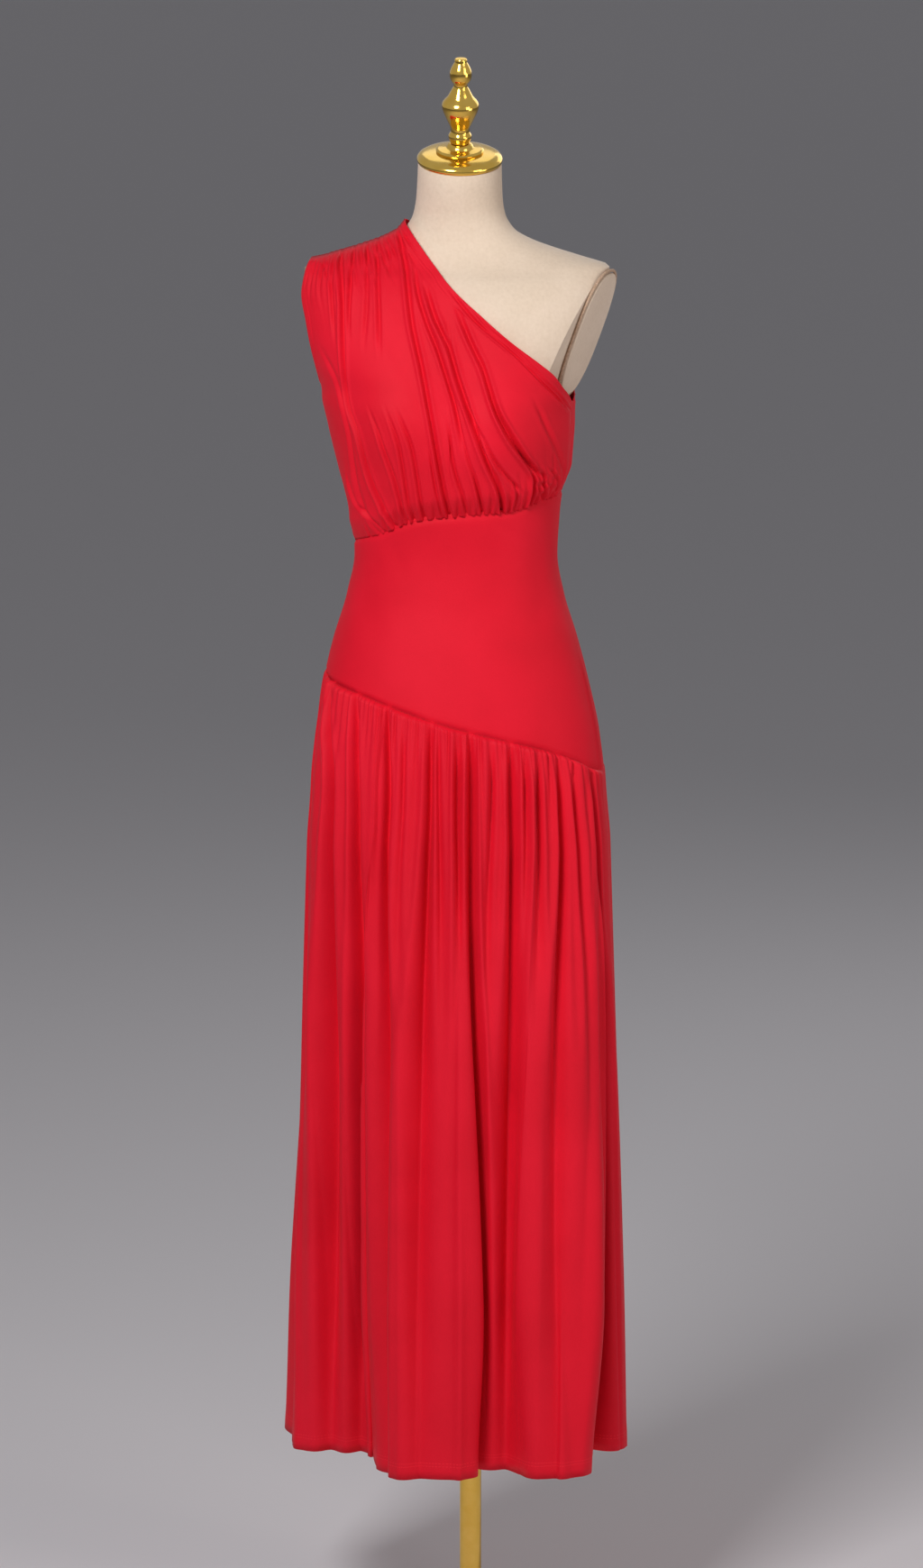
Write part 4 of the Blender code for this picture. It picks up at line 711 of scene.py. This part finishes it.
def make_bodice(name, side, armhole, neckline, creases, waist_pleats, columns, rows):
    """One half of the bodice with its creases, gathers and turned edges."""
    share, down = np.linspace(0, 1, columns), np.linspace(0, 1, rows)
    down = down - ROWS_DRAWN_IN * np.sin(2 * pi * down) / (2 * pi)
    down[0], down[-1] = 0.0, 1.0
    points = bodice_surface(armhole, neckline, share, down, side)
    across = metres_across(points)
    per_share = across * (columns - 1)
    rise = np.full(across.shape, BODICE_RISE)
    hang = smooth((down - BLOUSE_START) / BLOUSE_RUN) * smooth((1 - down) / BLOUSE_END)
    ends = np.minimum(smooth(share / BLOUSE_FROM_SIDES[0]), smooth((1 - share) / BLOUSE_FROM_SIDES[1]))
    rise += BLOUSE * np.outer(ends, hang)
    folds = np.zeros(across.shape)
    level = np.clip(points[..., 0], STRETCH_FROM, STRETCH_TO)
    depth_change = (dress_point(level + STRETCH_STEP, points[..., 2], side)
                    - dress_point(level - STRETCH_STEP, points[..., 2], side))[..., 1] / (2 * STRETCH_STEP)
    stretch = np.minimum(np.sqrt(1 + depth_change**2), STRETCH_MOST)
    for crease in creases:
        press_crease(folds, points, stretch, crease)
    rise += folds * smooth(down / CREASE_GROWN)[None, :]
    press_pleats(rise, share, down, per_share, SHOULDER_PLEATS, True)
    press_pleats(rise, share, down, per_share, waist_pleats, False)
    rise = keep_off_form(rise, points[..., 2], side, BODICE_ROOM)
    from_neck = np.cumsum(across[::-1], axis=0)[::-1] - across[-1:]
    from_arm = np.cumsum(across, axis=0) - across[:1]
    for from_edge, end, edge in ((from_neck, UNDERARM_PLACE, NECK_EDGE), (from_arm, ARMHOLE_PLACE, ARM_EDGE)):
        along = (1 - smooth((down - end + EDGE_BLEND) / EDGE_BLEND))[None, :]
        rise += turned_edge(from_edge, *edge) * along
    rise -= WAIST_TUCK * bell((1 - down) * PANEL_LONG, 0, WAIST_TUCK_WIDE)[None, :]
    seam_left, seam_right = (int(np.searchsorted(down, at)) for at in (ARMHOLE_PLACE, UNDERARM_PLACE))
    from_underarm = np.linalg.norm(points - points[-1, seam_right], axis=-1)
    rise -= UNDERARM_PRESS * bell(from_underarm, 0, UNDERARM_WIDE)
    rise[0, seam_left:] *= SIDE_CALM
    rise[-1, seam_right:] *= SIDE_CALM
    return sew_panel(name, points, rise, side, seam_left, seam_right, True)


def make_midriff(name, side, columns, rows):
    """The smooth shaped band between the two slanted seams."""
    turn, down = np.linspace(0, 1, columns), np.linspace(0, 1, rows)
    top, bottom = empire_height(turn)[:, None], hip_height(turn)[:, None]
    z = top + SEAM_ALLOWANCE + (bottom - top - 2 * SEAM_ALLOWANCE) * down[None, :]
    points = dress_turn_point(np.broadcast_to(turn[:, None], z.shape), z, side)
    from_top, from_bottom = top - z, z - bottom
    tuck = (FOOT_TUCK + FOOT_TUCK_MORE * smooth(np.sin(pi * turn) / TUCK_RUN))[:, None]
    rise = (-TOP_TUCK * (1 - smooth((from_top + TUCK_START) / TOP_TUCK_WIDE))
            - tuck * (1 - smooth((from_bottom + TUCK_START) / FOOT_TUCK_WIDE)))
    pucker = np.sin(turn * PUCKER_WAVES[0]) * np.sin(turn * PUCKER_WAVES[1] + 1) * PUCKER
    for away in (from_bottom, from_top):
        rise = rise + pucker[:, None] * np.exp(-np.maximum(away, 0) / PUCKER_WIDE)
    x, height = points[..., 0], points[..., 2]
    if side < 0:
        for x0, z0, x1, z1, deep, wide in DRAG_LINES:
            t = np.clip((z0 - height) / (z0 - z1), 0, 1)
            near = smooth((z0 - height) / DRAG_FADES[0]) * smooth((height - z1) / DRAG_FADES[1])
            rise = rise + deep * near * valley((x - x0 - (x1 - x0) * t) / wide, DRAG_ROLL)
        away = (turn - MIDRIFF_CREASE_TURN)[:, None] * metres_across(points) * (columns - 1)
        grown = smooth((MIDRIFF_CREASE_TOP - height) / MIDRIFF_CREASE_FADE)
        rise = rise + SIDE_CREASE * grown * valley(away / SIDE_CREASE_WIDE, SIDE_CREASE_ROLL)
    return sew_panel(name, points, rise, side)


def even_columns(folds, side, columns):
    """Places across the skirt that lie evenly along its seam, its knee and its hem together."""
    fine = np.linspace(0, len(folds) - 1, 3000)
    lines = skirt_surface(folds, fine, np.array((0.0, 0.35, 1.0)), side)
    length = np.linalg.norm(np.diff(lines, axis=0), axis=-1).sum(axis=1)
    run = np.concatenate([[0], np.cumsum(length)])
    return np.interp(np.linspace(0, run[-1], columns), run, fine)


def make_skirt(name, side, folds, valleys, gathers, columns, rows):
    """One half of the skirt from the hip seam down to its turned-up hem."""
    across = even_columns(folds, side, columns)
    down = np.linspace(0, 1, rows)**ROWS_DRAWN_UP
    points = skirt_surface(folds, across, down, side)
    rise = SKIRT_STANDS_OFF + skirt_rise(folds, valleys, gathers, across, down, points, side)
    z = points[..., 2]
    below_form = HOLLOW_ROOM * smooth((FORM_FOOT + HOLLOW_START - z) / HOLLOW_RUN)
    rise = keep_off_form(rise, z, side, SKIRT_ROOM, below_form)
    ends = np.minimum(smooth(across / SIDE_FADE), smooth((across[-1] - across) / SIDE_FADE))
    rise *= (SIDE_SHARE + (1 - SIDE_SHARE) * ends)[:, None]
    tall = points[:, :1, 2] - points[:, -1:, 2]
    from_seam, from_hem = down[None, :] * tall, (1 - down)[None, :] * tall
    tuck = (HIP_TUCK + HIP_TUCK_MORE * ends)[:, None]
    rise = rise * smooth(from_seam / SEAM_FADE + SEAM_SHARE) - tuck * bell(from_seam, 0, HIP_TUCK_WIDE)
    turn_up = smooth((HEM_TURN_UP - from_hem) / HEM_RAMP) * HEM_LAYER
    stitches = STITCH_DEEP * sum(bell(from_hem, height, STITCH_WIDE) for height in HEM_STITCHES)
    return sew_panel(name, points, rise + turn_up - stitches, side)


# Materials
class Finish:
    """A new material with short ways to add and join its nodes."""

    def __init__(self, name):
        self.material = bpy.data.materials.new(name)
        self.material.use_nodes = True
        self.nodes, self.links = self.material.node_tree.nodes, self.material.node_tree.links

    def put(self, socket, value):
        """Gives an input its value or another node's output."""
        if isinstance(value, bpy.types.NodeSocket):
            self.links.new(value, socket)
        else:
            socket.default_value = value

    def join(self, node, **inputs):
        for name, value in inputs.items():
            self.put(node.inputs[name.replace("_", " ")], value)
        return node

    def add(self, kind, **inputs):
        return self.join(self.nodes.new("ShaderNode" + kind), **inputs)

    def math(self, operation, *values):
        node = self.add("Math")
        node.operation = operation
        for socket, value in zip(node.inputs, values):
            self.put(socket, value)
        return node.outputs[0]

    def waves(self, along, length):
        return self.math("SINE", self.math("MULTIPLY", along, 2 * pi / length))

    def blend(self, first, share, second):
        """A part of the first and the rest of the second."""
        return self.math("ADD", self.math("MULTIPLY", first, share), self.math("MULTIPLY", second, 1 - share))

    def place(self):
        return self.add("TexCoord").outputs["Object"]

    def split(self, vector):
        return self.add("SeparateXYZ", Vector=vector).outputs

    def noise(self, vector, scale, detail):
        return self.add("TexNoise", Vector=vector, Scale=scale, Detail=detail).outputs["Fac"]

    def ramp(self, fac, *stops):
        node = self.add("ValToRGB", Fac=fac)
        elements = node.color_ramp.elements
        while len(elements) < len(stops):
            elements.new(0.5)
        for element, (place, colour) in zip(elements, stops):
            element.position, element.color = place, (*colour, 1.0)
        return node.outputs["Color"]

    def between(self, value, low, high):
        return self.add("MapRange", Value=value, To_Min=low, To_Max=high).outputs["Result"]

    def bump(self, height, strength, distance):
        return self.add("Bump", Height=height, Strength=strength, Distance=distance).outputs["Normal"]

    def surface(self, **inputs):
        self.join(self.nodes["Principled BSDF"], **inputs)
        return self.material


def red_jersey(name, hem_stitches):
    """Fine red jersey: knitted wales along the cloth, soft sheen, a little unevenness of dye."""
    look = Finish(name)
    uv = look.add("UVMap")
    uv.uv_map = "flat_cloth"
    place = look.place()
    flat = look.split(uv.outputs["UV"])
    u, v = flat["X"], flat["Y"]
    knit = look.math("ADD", look.waves(u, WALE), look.math("MULTIPLY", look.waves(v, COURSE), 0.5))
    yarn = look.noise(place, 900.0, 2.0)
    cloth = look.math("ADD", look.math("MULTIPLY", knit, 0.25), yarn)
    tone = look.blend(look.noise(place, 9.0, 4.0), 0.75, yarn)
    colour = look.ramp(tone, (0.30, (0.695, 0.0040, 0.019)), (0.50, (0.760, 0.0052, 0.023)),
                       (0.70, (0.815, 0.0070, 0.028)))
    if hem_stitches:
        dash = look.math("GREATER_THAN", look.waves(u, STITCH_LONG), -0.4)
        lines = [look.math("LESS_THAN", look.math("ABSOLUTE", look.math("SUBTRACT", v, height)), THREAD_HALF)
                 for height in HEM_STITCHES]
        thread = look.math("MULTIPLY", look.math("ADD", *lines), dash)
        mix = look.add("Mix")
        mix.data_type = "RGBA"
        look.join(mix, Factor=thread, A=colour, B=(0.86, 0.016, 0.036, 1.0))
        colour = mix.outputs["Result"]
        cloth = look.math("ADD", cloth, look.math("MULTIPLY", thread, 3.0))
    return look.surface(Base_Color=colour, Roughness=look.between(tone, 0.56, 0.68), Sheen_Weight=0.10,
                        Sheen_Roughness=0.45, Sheen_Tint=(1.0, 0.10, 0.13, 1.0),
                        Specular_IOR_Level=0.18, Normal=look.bump(cloth, 0.35, 0.00035))


def form_cover(name):
    """The form's cream cover: a close plain weave with faint slubs."""
    look = Finish(name)
    place = look.place()
    axes = look.split(place)
    weave = look.math("MULTIPLY", look.waves(axes["X"], WEAVE), look.waves(axes["Z"], WEAVE))
    slub = look.noise(place, 260.0, 3.0)
    colour = look.ramp(look.blend(slub, 0.45, look.noise(place, 14.0, 3.0)), (0.30, (0.690, 0.545, 0.415)),
                       (0.50, (0.755, 0.605, 0.470)), (0.70, (0.805, 0.655, 0.520)))
    height = look.math("ADD", look.math("MULTIPLY", weave, 0.5), slub)
    return look.surface(Base_Color=colour, Roughness=0.82, Sheen_Weight=0.15, Sheen_Roughness=0.5,
                        Normal=look.bump(height, 0.3, 0.0004))


def piping_cord(name):
    """Tan piping: a twisted cord under a bias strip."""
    look = Finish(name)
    fibres = look.noise(look.place(), 420.0, 3.0)
    colour = look.ramp(fibres, (0.35, (0.40, 0.26, 0.17)), (0.65, (0.55, 0.38, 0.27)))
    return look.surface(Base_Color=colour, Roughness=0.8, Normal=look.bump(fibres, 0.4, 0.0004))


def polished_gold(name):
    """Polished gold plate: bright, with faint hand marks and polishing lines."""
    look = Finish(name)
    place = look.place()
    marks = look.noise(place, 60.0, 4.0)
    colour = look.ramp(marks, (0.3, (0.80, 0.50, 0.085)), (0.7, (0.88, 0.58, 0.13)))
    return look.surface(Base_Color=colour, Metallic=1.0, Roughness=look.between(marks, 0.09, 0.19),
                        Normal=look.bump(look.noise(place, 700.0, 2.0), 0.05, 0.0002))


jersey, hemmed_jersey = red_jersey("red_jersey", False), red_jersey("red_jersey_hemmed", True)
linen, piping_finish = form_cover("form_cover"), piping_cord("form_piping")
gold = polished_gold("polished_gold")


def finish_piece(piece, material, slot, *nodes):
    piece.data.materials.clear()
    piece.data.materials.append(material)
    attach(piece, "root")
    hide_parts(*nodes)
    return piece


# The dress
def cloth_panel(make, node, material, *shape):
    return finish_piece(make(node + "_cloth", *shape), material, "red_jersey", node)


bodice_front = cloth_panel(make_bodice, "bodice_front", jersey, -1, FRONT_ARMHOLE, FRONT_NECKLINE,
                           FRONT_CREASES, FRONT_WAIST_PLEATS, 390, 122)
bodice_back = cloth_panel(make_bodice, "bodice_back", jersey, 1, BACK_ARMHOLE, BACK_NECKLINE,
                          BACK_CREASES, BACK_WAIST_PLEATS, 390, 96)
midriff_front = cloth_panel(make_midriff, "midriff_front", jersey, -1, 130, 76)
midriff_back = cloth_panel(make_midriff, "midriff_back", jersey, 1, 130, 76)
skirt_front = cloth_panel(make_skirt, "skirt_front", hemmed_jersey, -1, SKIRT_FRONT_FOLDS,
                          FRONT_VALLEYS, FRONT_GATHERS, 430, 112)
skirt_back = cloth_panel(make_skirt, "skirt_back", hemmed_jersey, 1, SKIRT_BACK_FOLDS,
                         BACK_VALLEYS, BACK_GATHERS, 360, 100)


# The form
def arm_frame(side):
    """The arm cut's own axes: Z out of the cut, Y up along it, at its centre."""
    out = Vector((side * cos(ARM_DROP) * cos(ARM_TURN), -cos(ARM_DROP) * sin(ARM_TURN), -sin(ARM_DROP)))
    up = (Vector((0, 0, 1)) - out * out.z).normalized()
    across = up.cross(out)
    place = Matrix((across, up, out)).transposed().to_4x4()
    place.translation = Vector((side * ARM_CENTRE.x + BODY_X, ARM_CENTRE.y + BODY_Y, ARM_CENTRE.z))
    return place


def make_torso(name, sides, rows):
    """The padded torso: its sections, leaning with the neck at the top, cut flat at the arms."""
    top = NECK_TOP.z - CAP_SEAT * cos(NECK_TILT)
    heights = np.linspace(FORM_FOOT, top, rows)
    angle = np.linspace(0, 2 * pi, sides, endpoint=False)
    half, front, back, power = (form[k](heights)[:, None] for k in ("half", "front", "back", "power"))
    lean = smooth((heights - LEAN_START) / (top - LEAN_START))[:, None]
    x = half * np.sign(np.cos(angle)) * np.abs(np.cos(angle))**(2 / power)
    share = np.sign(np.sin(angle)) * np.abs(np.sin(angle))**(2 / power)
    y = share * np.where(share > 0, back, front)
    y = y - np.where(share < 0, bust(x, heights[:, None], FORM_BUST, FORM_BUST_SPREAD) * np.abs(share), 0)
    y = y * (1 - lean * (1 - cos(NECK_TILT)))
    z = heights[:, None] + lean * (y * tan(NECK_TILT) - x * tan(NECK_LEAN))
    rounding = FOOT_ROUND * np.exp(-(heights - FORM_FOOT) / FOOT_ROUND_HIGH)[:, None]
    x, y = x * (1 - rounding / FOOT_HALF), y * (1 - rounding / FOOT_DEEP)
    points = np.stack([x + lean * NECK_TOP.x + BODY_X,
                       y + lean * (NECK_TOP.y + CAP_SEAT * sin(NECK_TILT)) + BODY_Y, z + 0 * x], -1)
    number = np.arange(rows * sides).reshape(rows, sides)
    following = np.roll(number, -1, axis=1)
    faces = np.stack([number[:-1], following[:-1], following[1:], number[1:]], -1).reshape(-1, 4).tolist()
    torso = new_piece(name, points, faces + [number[0, ::-1].tolist(), number[-1].tolist()])
    for side in (-1, 1):
        bpy.ops.mesh.primitive_cube_add(size=1.0)
        cutter = bpy.context.object
        below = ARM_HALF_HEIGHT + 2 * PIPING_RADIUS + CUT_SPARE
        height = 2 * ARM_HALF_HEIGHT + CUT_ABOVE
        cutter.matrix_world = (arm_frame(side) @ Matrix.Translation((0, height / 2 - below, CUT_DEEP / 2))
                               @ Matrix.Diagonal((CUT_WIDE, height, CUT_DEEP, 1)))
        cut = torso.modifiers.new("arm_cut", "BOOLEAN")
        cut.operation, cut.object, cut.solver = "DIFFERENCE", cutter, "EXACT"
        apply_modifier(torso, cut)
        bpy.data.objects.remove(cutter)
    smooth_flanks(torso, radians(35))
    return torso


def arm_oval(angle, margin):
    """A point on the arm plate's outline, or outside it by a margin."""
    x = np.sign(cos(angle)) * abs(cos(angle))**(2 / ARM_SQUARE)
    y = np.sign(sin(angle)) * abs(sin(angle))**(2 / ARM_SQUARE)
    return Vector((x * (ARM_HALF_DEPTH + margin), y * (ARM_HALF_HEIGHT + margin)))


def make_arm_plate(name, side):
    """A padded plate, a long oval squarish at its ends, with a rolled rim."""
    bpy.ops.mesh.primitive_cylinder_add(vertices=96, radius=1.0, depth=ARM_THICK)
    plate = bpy.context.object
    plate.name = plate.data.name = name
    for vertex in plate.data.vertices:
        vertex.co.xy = arm_oval(atan2(vertex.co.y, vertex.co.x), 0.0)
    set_in_place(plate, arm_frame(side) @ Matrix.Translation((0, 0, PART_GAP + ARM_THICK / 2)))
    rim = plate.modifiers.new("rim", "BEVEL")
    rim.width, rim.segments, rim.limit_method, rim.angle_limit = RIM_ROUND, 5, "ANGLE", radians(50)
    apply_modifier(plate, rim)
    smooth_flanks(plate, radians(40))
    return plate


def make_piping(name, side):
    """The piping sewn round an arm plate: a ring laid along the plate's outline."""
    clear = PIPING_RADIUS + PART_GAP
    bpy.ops.mesh.primitive_torus_add(major_radius=1.0, minor_radius=PIPING_RADIUS, major_segments=160,
                                     minor_segments=12)
    ring = bpy.context.object
    ring.name = ring.data.name = name
    for vertex in ring.data.vertices:
        angle, away = atan2(vertex.co.y, vertex.co.x), vertex.co.xy.length - 1
        ahead, behind = (arm_oval(angle + turn, clear + PIPING_SPARE) for turn in (OVAL_STEP, -OVAL_STEP))
        run = ahead - behind
        out = Vector((run.y, -run.x)).normalized()
        vertex.co.xy = arm_oval(angle, clear + PIPING_SPARE) + out * away
    set_in_place(ring, arm_frame(side) @ Matrix.Translation((0, 0, clear)))
    act_on(ring, bpy.ops.object.shade_smooth)
    return ring


finish_piece(make_torso("form_torso_cover", 128, 220), linen, "form_cover", "form_torso")
for word, end in (("right", -1), ("left", 1)):
    finish_piece(make_arm_plate("form_arm_pad_" + word, end), linen, "form_cover", "form_arm_plate_" + word)
    finish_piece(make_piping("form_arm_cord_" + word, end), piping_finish, "form_piping",
                 "form_arm_piping_" + word)


# The gold parts
def turn_on_lathe(name, profile, steps, place):
    """A turned part: a disc at the top of its profile, extruded down it ring by ring."""
    (radius, height), rest = profile[1], profile[2:-1]
    bpy.ops.mesh.primitive_circle_add(vertices=steps, radius=radius, location=(0, 0, height),
                                      fill_type="NGON")
    part = bpy.context.object
    part.name = part.data.name = name
    bpy.ops.object.transform_apply(location=True, rotation=True, scale=True)
    bpy.ops.object.mode_set(mode="EDIT")
    bpy.ops.mesh.select_all(action="SELECT")
    for next_radius, next_height in rest:
        step = (0, 0, next_height - height)
        bpy.ops.mesh.extrude_region_move(TRANSFORM_OT_translate={"value": step})
        bpy.ops.transform.resize(value=(next_radius / radius, next_radius / radius, 1))
        radius, height = next_radius, next_height
    bpy.ops.mesh.select_all(action="SELECT")
    bpy.ops.mesh.normals_make_consistent(inside=False)
    bpy.ops.object.mode_set(mode="OBJECT")
    set_in_place(part, place)
    smooth_flanks(part, radians(38))
    return part


neck_place = (Matrix.Translation(NECK_TOP + Vector((BODY_X, BODY_Y, 0)))
              @ Matrix.Rotation(NECK_LEAN, 4, "Y") @ Matrix.Rotation(NECK_TILT, 4, "X"))
upright = Matrix()
for node, ending, profile, steps, place in (
        ("neck_cap", "_turned", CAP_PROFILE, 96, neck_place),
        ("finial", "_turned", FINIAL_PROFILE, 72, neck_place),
        ("pole_flange", "_turned", FLANGE_PROFILE, 72, upright),
        ("stand_pole", "_tube", POLE_PROFILE, 72, upright),
        ("stand_base", "_plate", BASE_PROFILE, 128, upright)):
    finish_piece(turn_on_lathe(node + ending, profile, steps, place), gold, "polished_gold", node)

# Floor, light and camera
bpy.ops.mesh.primitive_plane_add(size=60, location=(0, 20, 0))
floor = bpy.context.object
floor.name = "floor"
floor.data.materials.append(Finish("floor").surface(Base_Color=(0.80, 0.77, 0.80, 1.0), Roughness=0.9))

world = bpy.data.worlds.new("studio")
bpy.context.scene.world = world
world.use_nodes = True
world.node_tree.nodes["Background"].inputs["Color"].default_value = (0.86, 0.87, 0.90, 1.0)
ray = world.node_tree.nodes.new("ShaderNodeLightPath")
strength = world.node_tree.nodes.new("ShaderNodeMapRange")
strength.inputs["To Min"].default_value, strength.inputs["To Max"].default_value = 0.15, 0.50
world.node_tree.links.new(ray.outputs["Is Glossy Ray"], strength.inputs["Value"])
world.node_tree.links.new(strength.outputs["Result"], world.node_tree.nodes["Background"].inputs["Strength"])
bpy.context.scene.view_settings.view_transform = "Standard"


def softbox(name, place, aim, size, power, tint=(1.0, 1.0, 1.0)):
    lamp = bpy.data.lights.new(name, "AREA")
    lamp.shape, lamp.size, lamp.size_y = "RECTANGLE", size[0], size[1]
    lamp.energy, lamp.color = power, tint
    light = bpy.data.objects.new(name, lamp)
    light.location = place
    light.rotation_euler = (Vector(aim) - Vector(place)).to_track_quat("-Z", "Y").to_euler()
    light.visible_camera = False
    bpy.context.scene.collection.objects.link(light)


softbox("key", (-0.87, -2.7, 2.95), (0, 0, 1.35), (0.95, 1.0), 80)
softbox("fill", (3.0, -2.4, 2.2), (0, 0, 1.25), (1.4, 1.8), 26, (1.0, 0.93, 0.87))
softbox("side", (1.7, -0.7, 1.45), (0.1, -0.05, 1.75), (0.6, 0.6), 4.0, (1.0, 0.92, 0.85))
softbox("back", (1.8, 3.4, 3.0), (0, 0, 1.2), (2.4, 2.4), 20)
softbox("cap", (-0.25, 2.3, 3.9), (0, 0, 1.75), (1.7, 1.3), 5.0)

camera_data = bpy.data.cameras.new("camera")
camera_data.sensor_fit = "VERTICAL"
camera_data.sensor_height = SENSOR
camera_data.lens = FOCAL_PIXELS * SENSOR / PICTURE_HIGH
camera_data.clip_end = 200
camera = bpy.data.objects.new("camera", camera_data)
back = Vector((sin(CAMERA_YAW) * cos(CAMERA_PITCH), -cos(CAMERA_YAW) * cos(CAMERA_PITCH), sin(CAMERA_PITCH)))
camera.location = AIM + back * CAMERA_AWAY
camera.rotation_euler = (-back).to_track_quat("-Z", "Y").to_euler()
bpy.context.scene.collection.objects.link(camera)
bpy.context.scene.camera = camera
